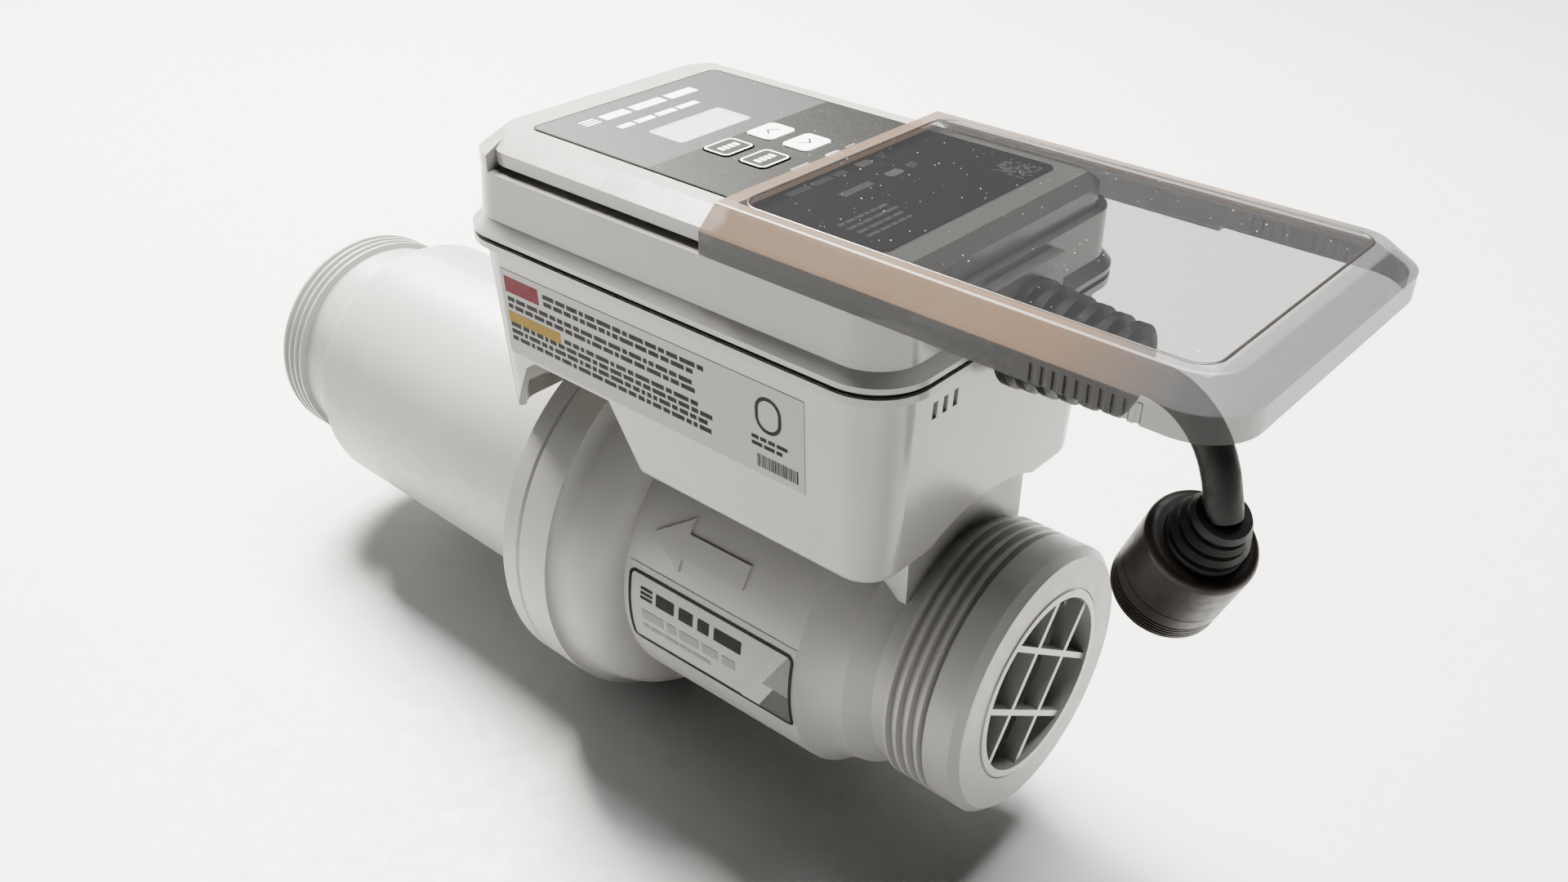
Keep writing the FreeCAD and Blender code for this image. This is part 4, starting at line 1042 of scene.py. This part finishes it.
@dataclass
class Labels:
    """The rating label on the tub and the name label on the barrel, with bars for words."""

    seed: int = 21
    wall_lean: float = 0.0025 / 0.055
    barrel_radius: float = 0.052
    barrel_taper: float = 0.0012 / 0.068
    first_angle_deg: float = 73.5 - 90.0
    span_deg: float = 31.0

    def build(self) -> None:
        """Dress both labels and print them."""
        paper = Ink("label_white", (0.3, 0.3, 0.292), 0.03).material()
        for node in ("side_label", "body_label"):
            dress(node, paper)
        self.black = Ink("label_black", (0.006, 0.006, 0.006)).material()
        self.rating_label()
        self.name_label()

    def printed(self, piece: bpy.types.Object) -> None:
        """Put a printed piece on the unit."""
        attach(piece, UNIT)
        log.info("printed %s", piece.name)

    def rating_label(self) -> None:
        """Two coloured blocks, lines of small print, a badge and a row of upright bars."""
        low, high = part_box("side_label")
        area = PrintArea(Facing.SIDE, (low.x, high.y - 0.0002, low.z),
                         -self.wall_lean)
        length, height = high.x - low.x, high.z - low.z
        rng = np.random.default_rng(self.seed)
        red = Ink("label_red", (0.1, 0.008, 0.015)).material()
        amber = Ink("label_amber", (0.2, 0.13, 0.015)).material()
        row = 0.0023
        top = height - 0.002
        lines = [top - row * (k + 1) for k in range(3)]
        words = [word_bars(rng, 0.0185, length - 0.034, lines[:2], 0.0015, 0.0036),
                 word_bars(rng, 0.002, length - 0.034, [lines[2] - 0.0012, lines[2] - 0.0035],
                           0.0015, 0.0036)]
        lower = [lines[2] - 0.0073 - row * k for k in range(4)]
        words.append(word_bars(rng, 0.026, length - 0.034, lower[:1], 0.0015, 0.0036))
        words.append(word_bars(rng, 0.002, length - 0.03, lower[1:], 0.0015, 0.0034))
        words.append(word_bars(rng, length - 0.018, length - 0.004,
                               [0.0105, 0.0085], 0.0012, 0.003))
        self.printed(area.patches("rating_words", np.concatenate(words), self.black))
        self.printed(area.patches("rating_red", np.array([[0.0015, 0.0165, top - 0.0052, top]]),
                                  red))
        self.printed(area.patches("rating_amber", np.array(
            [[0.0015, 0.0245, lower[0] - 0.0008, lower[0] + 0.0028]]), amber))
        self.printed(ring_patch("rating_badge", area, (length - 0.0165, height - 0.0145),
                                (length - 0.0075, height - 0.0035), 0.0044, 0.0011, self.black))
        widths = rng.uniform(0.00015, 0.0006, size=26)
        starts = length - 0.0165 + np.cumsum(widths + 0.00022) - widths
        keep = starts + widths < length - 0.002
        code = np.column_stack([starts[keep], (starts + widths)[keep],
                                np.full(keep.sum(), 0.0022), np.full(keep.sum(), 0.0062)])
        self.printed(area.patches("rating_code", code, self.black))

    def name_label(self) -> None:
        """Rounded black border, bars for the name and three grey facets at the right."""
        low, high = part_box("body_label")
        radius = self.barrel_radius
        start = np.radians(self.first_angle_deg) * radius
        area = PrintArea(Facing.BARREL, (low.x, 0.0, start), radius=radius + 0.0002,
                         taper=-self.barrel_taper)
        length = high.x - low.x
        height = np.radians(self.span_deg) * radius
        rng = np.random.default_rng(self.seed + 1)
        border = ring_patch("name_border", area, (0.0003, 0.0003),
                            (length - 0.0003, height - 0.0003), 0.0026, 0.0011, self.black,
                            0.00012)
        self.printed(border)
        heading = word_bars(rng, 0.012, 0.049, [height * 0.66], 0.0044, 0.009)
        middle = word_bars(rng, 0.006, 0.046, [height * 0.4], 0.0034, 0.008)
        small = word_bars(rng, 0.006, 0.038, [height * 0.26], 0.0016, 0.005)
        badge = np.array([(0.0055, 0.0105, height * 0.66 + k * 0.0017,
                           height * 0.66 + 0.001 + k * 0.0017) for k in range(3)])
        words = np.concatenate([heading, badge])
        self.printed(area.patches("name_heading", words, self.black, 0.0001, cells=3))
        grey = Ink("label_grey", (0.2, 0.2, 0.2)).material()
        self.printed(area.patches("name_lines", np.concatenate([middle, small]), grey, 0.0001,
                                  cells=3))
        self.facets(area, length, height)

    def facets(self, area: PrintArea, length: float, height: float) -> None:
        """Grey wedges: at parameters (s, t) u is right edge - width * s * (1 - lean * t)."""
        s, t = np.meshgrid(np.linspace(0, 1, 8), np.linspace(0, 1, 14), indexing="ij")
        for number, (shade, width, lean, low, high) in enumerate((
            (0.33, 0.020, 0.75, 0.03, 0.97), (0.16, 0.010, 0.9, 0.45, 0.97),
            (0.07, 0.013, 0.55, 0.03, 0.45),
        )):
            u = length - 0.0012 - width * s * (1 - lean * t)
            v = height * (low + (high - low) * t)
            ink = Ink("facet_grey_%d" % number, (shade, shade, shade)).material()
            points = area.points(u, v, 0.00006 + 0.00001 * number)
            quads = grid_faces(8, 14, closed=False)[:, ::-1]
            self.printed(surface_object("name_facet_%d" % number, points.reshape(-1, 3), quads,
                                        ink, smooth=False))


@dataclass
class Studio:
    """Pale floor, soft lights and the camera."""

    eye: tuple = (0.1428, -0.278475, 0.270375)
    pitch_deg: float = 31.90
    yaw_deg: float = 40.86
    roll_deg: float = 0.63
    lens_mm: float = 32.04
    floor_half: float = 3.0
    floor_gap: float = 0.0005
    world_strength: float = 0.06

    def camera(self) -> None:
        """Aim the camera: down by the pitch, left by the yaw and tilted by the roll."""
        pitch, yaw, roll = (np.radians(a) for a in (self.pitch_deg, self.yaw_deg, self.roll_deg))
        ahead = np.array([-np.sin(yaw) * np.cos(pitch), np.cos(yaw) * np.cos(pitch),
                          -np.sin(pitch)])
        right = np.array([np.cos(yaw), np.sin(yaw), 0.0])
        up = np.cross(right, ahead)
        across = np.cos(roll) * right + np.sin(roll) * up
        upward = np.cos(roll) * up - np.sin(roll) * right
        data = bpy.data.cameras.new("camera")
        data.lens = self.lens_mm
        data.sensor_width = 36.0
        data.clip_start = 0.01
        camera = bpy.data.objects.new("camera", data)
        columns = np.column_stack([across, upward, -ahead])
        camera.matrix_world = Matrix.Translation(self.eye) @ Matrix(columns.tolist()).to_4x4()
        bpy.context.scene.collection.objects.link(camera)
        bpy.context.scene.camera = camera

    def light(self, name: str, place: tuple, aim: tuple, size: float, watts: float,
              colour: tuple = (1.0, 1.0, 1.0)) -> None:
        """Add one soft square light.

        Args:
            name: Its name.
            place: Where it hangs.
            aim: The point it faces.
            size: Side of the square, in metres.
            watts: Its power.
            colour: Its colour.
        """
        data = bpy.data.lights.new(name, "AREA")
        data.size = size
        data.energy = watts
        data.color = colour
        lamp = bpy.data.objects.new(name, data)
        direction = Vector(aim) - Vector(place)
        lamp.rotation_euler = direction.to_track_quat("-Z", "Y").to_euler()
        lamp.location = place
        bpy.context.scene.collection.objects.link(lamp)

    def build(self) -> None:
        """Make the floor, the lights and the pale surroundings."""
        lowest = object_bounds()[0].z
        span = np.linspace(-self.floor_half, self.floor_half, 3)
        x, y = np.meshgrid(span, span, indexing="ij")
        points = np.stack([x, y, np.full_like(x, lowest - self.floor_gap)], axis=-1)
        pale = MouldedPlastic("studio_floor", (0.5, 0.5, 0.5), Surface.MATT, cloud=0.01)
        floor = surface_object("floor", points.reshape(-1, 3),
                               grid_faces(3, 3, closed=False)[:, ::-1], pale.material())
        if floor.data.polygons[0].normal.z < 0:
            floor.data.flip_normals()
        floor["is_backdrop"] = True
        self.light("key_light", (-1.15, 0.45, 1.35), (-0.12, 0.0, 0.05), 0.7, 330.0,
                   (1.0, 0.965, 0.88))
        self.light("top_light", (-0.1, 0.4, 1.4), (-0.1, 0.0, 0.05), 0.8, 90.0)
        self.light("left_light", (-1.3, -0.1, 0.35), (-0.15, 0.0, 0.0), 0.5, 5.0)
        world = bpy.data.worlds.new("surroundings")
        world.use_nodes = True
        world.node_tree.nodes["Background"].inputs[0].default_value = (1, 1, 1, 1)
        world.node_tree.nodes["Background"].inputs[1].default_value = self.world_strength
        bpy.context.scene.world = world


def main() -> None:
    """Build everything in order."""
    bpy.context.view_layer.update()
    studio = Studio()
    studio.camera()
    for part in (Lead(), FlowCell(), ControlBox(), ControlPanel(), SlidingCover(), Labels()):
        part.build()
        log.info("finished %s", type(part).__name__)
    studio.build()


if __name__ == "__main__":
    main()
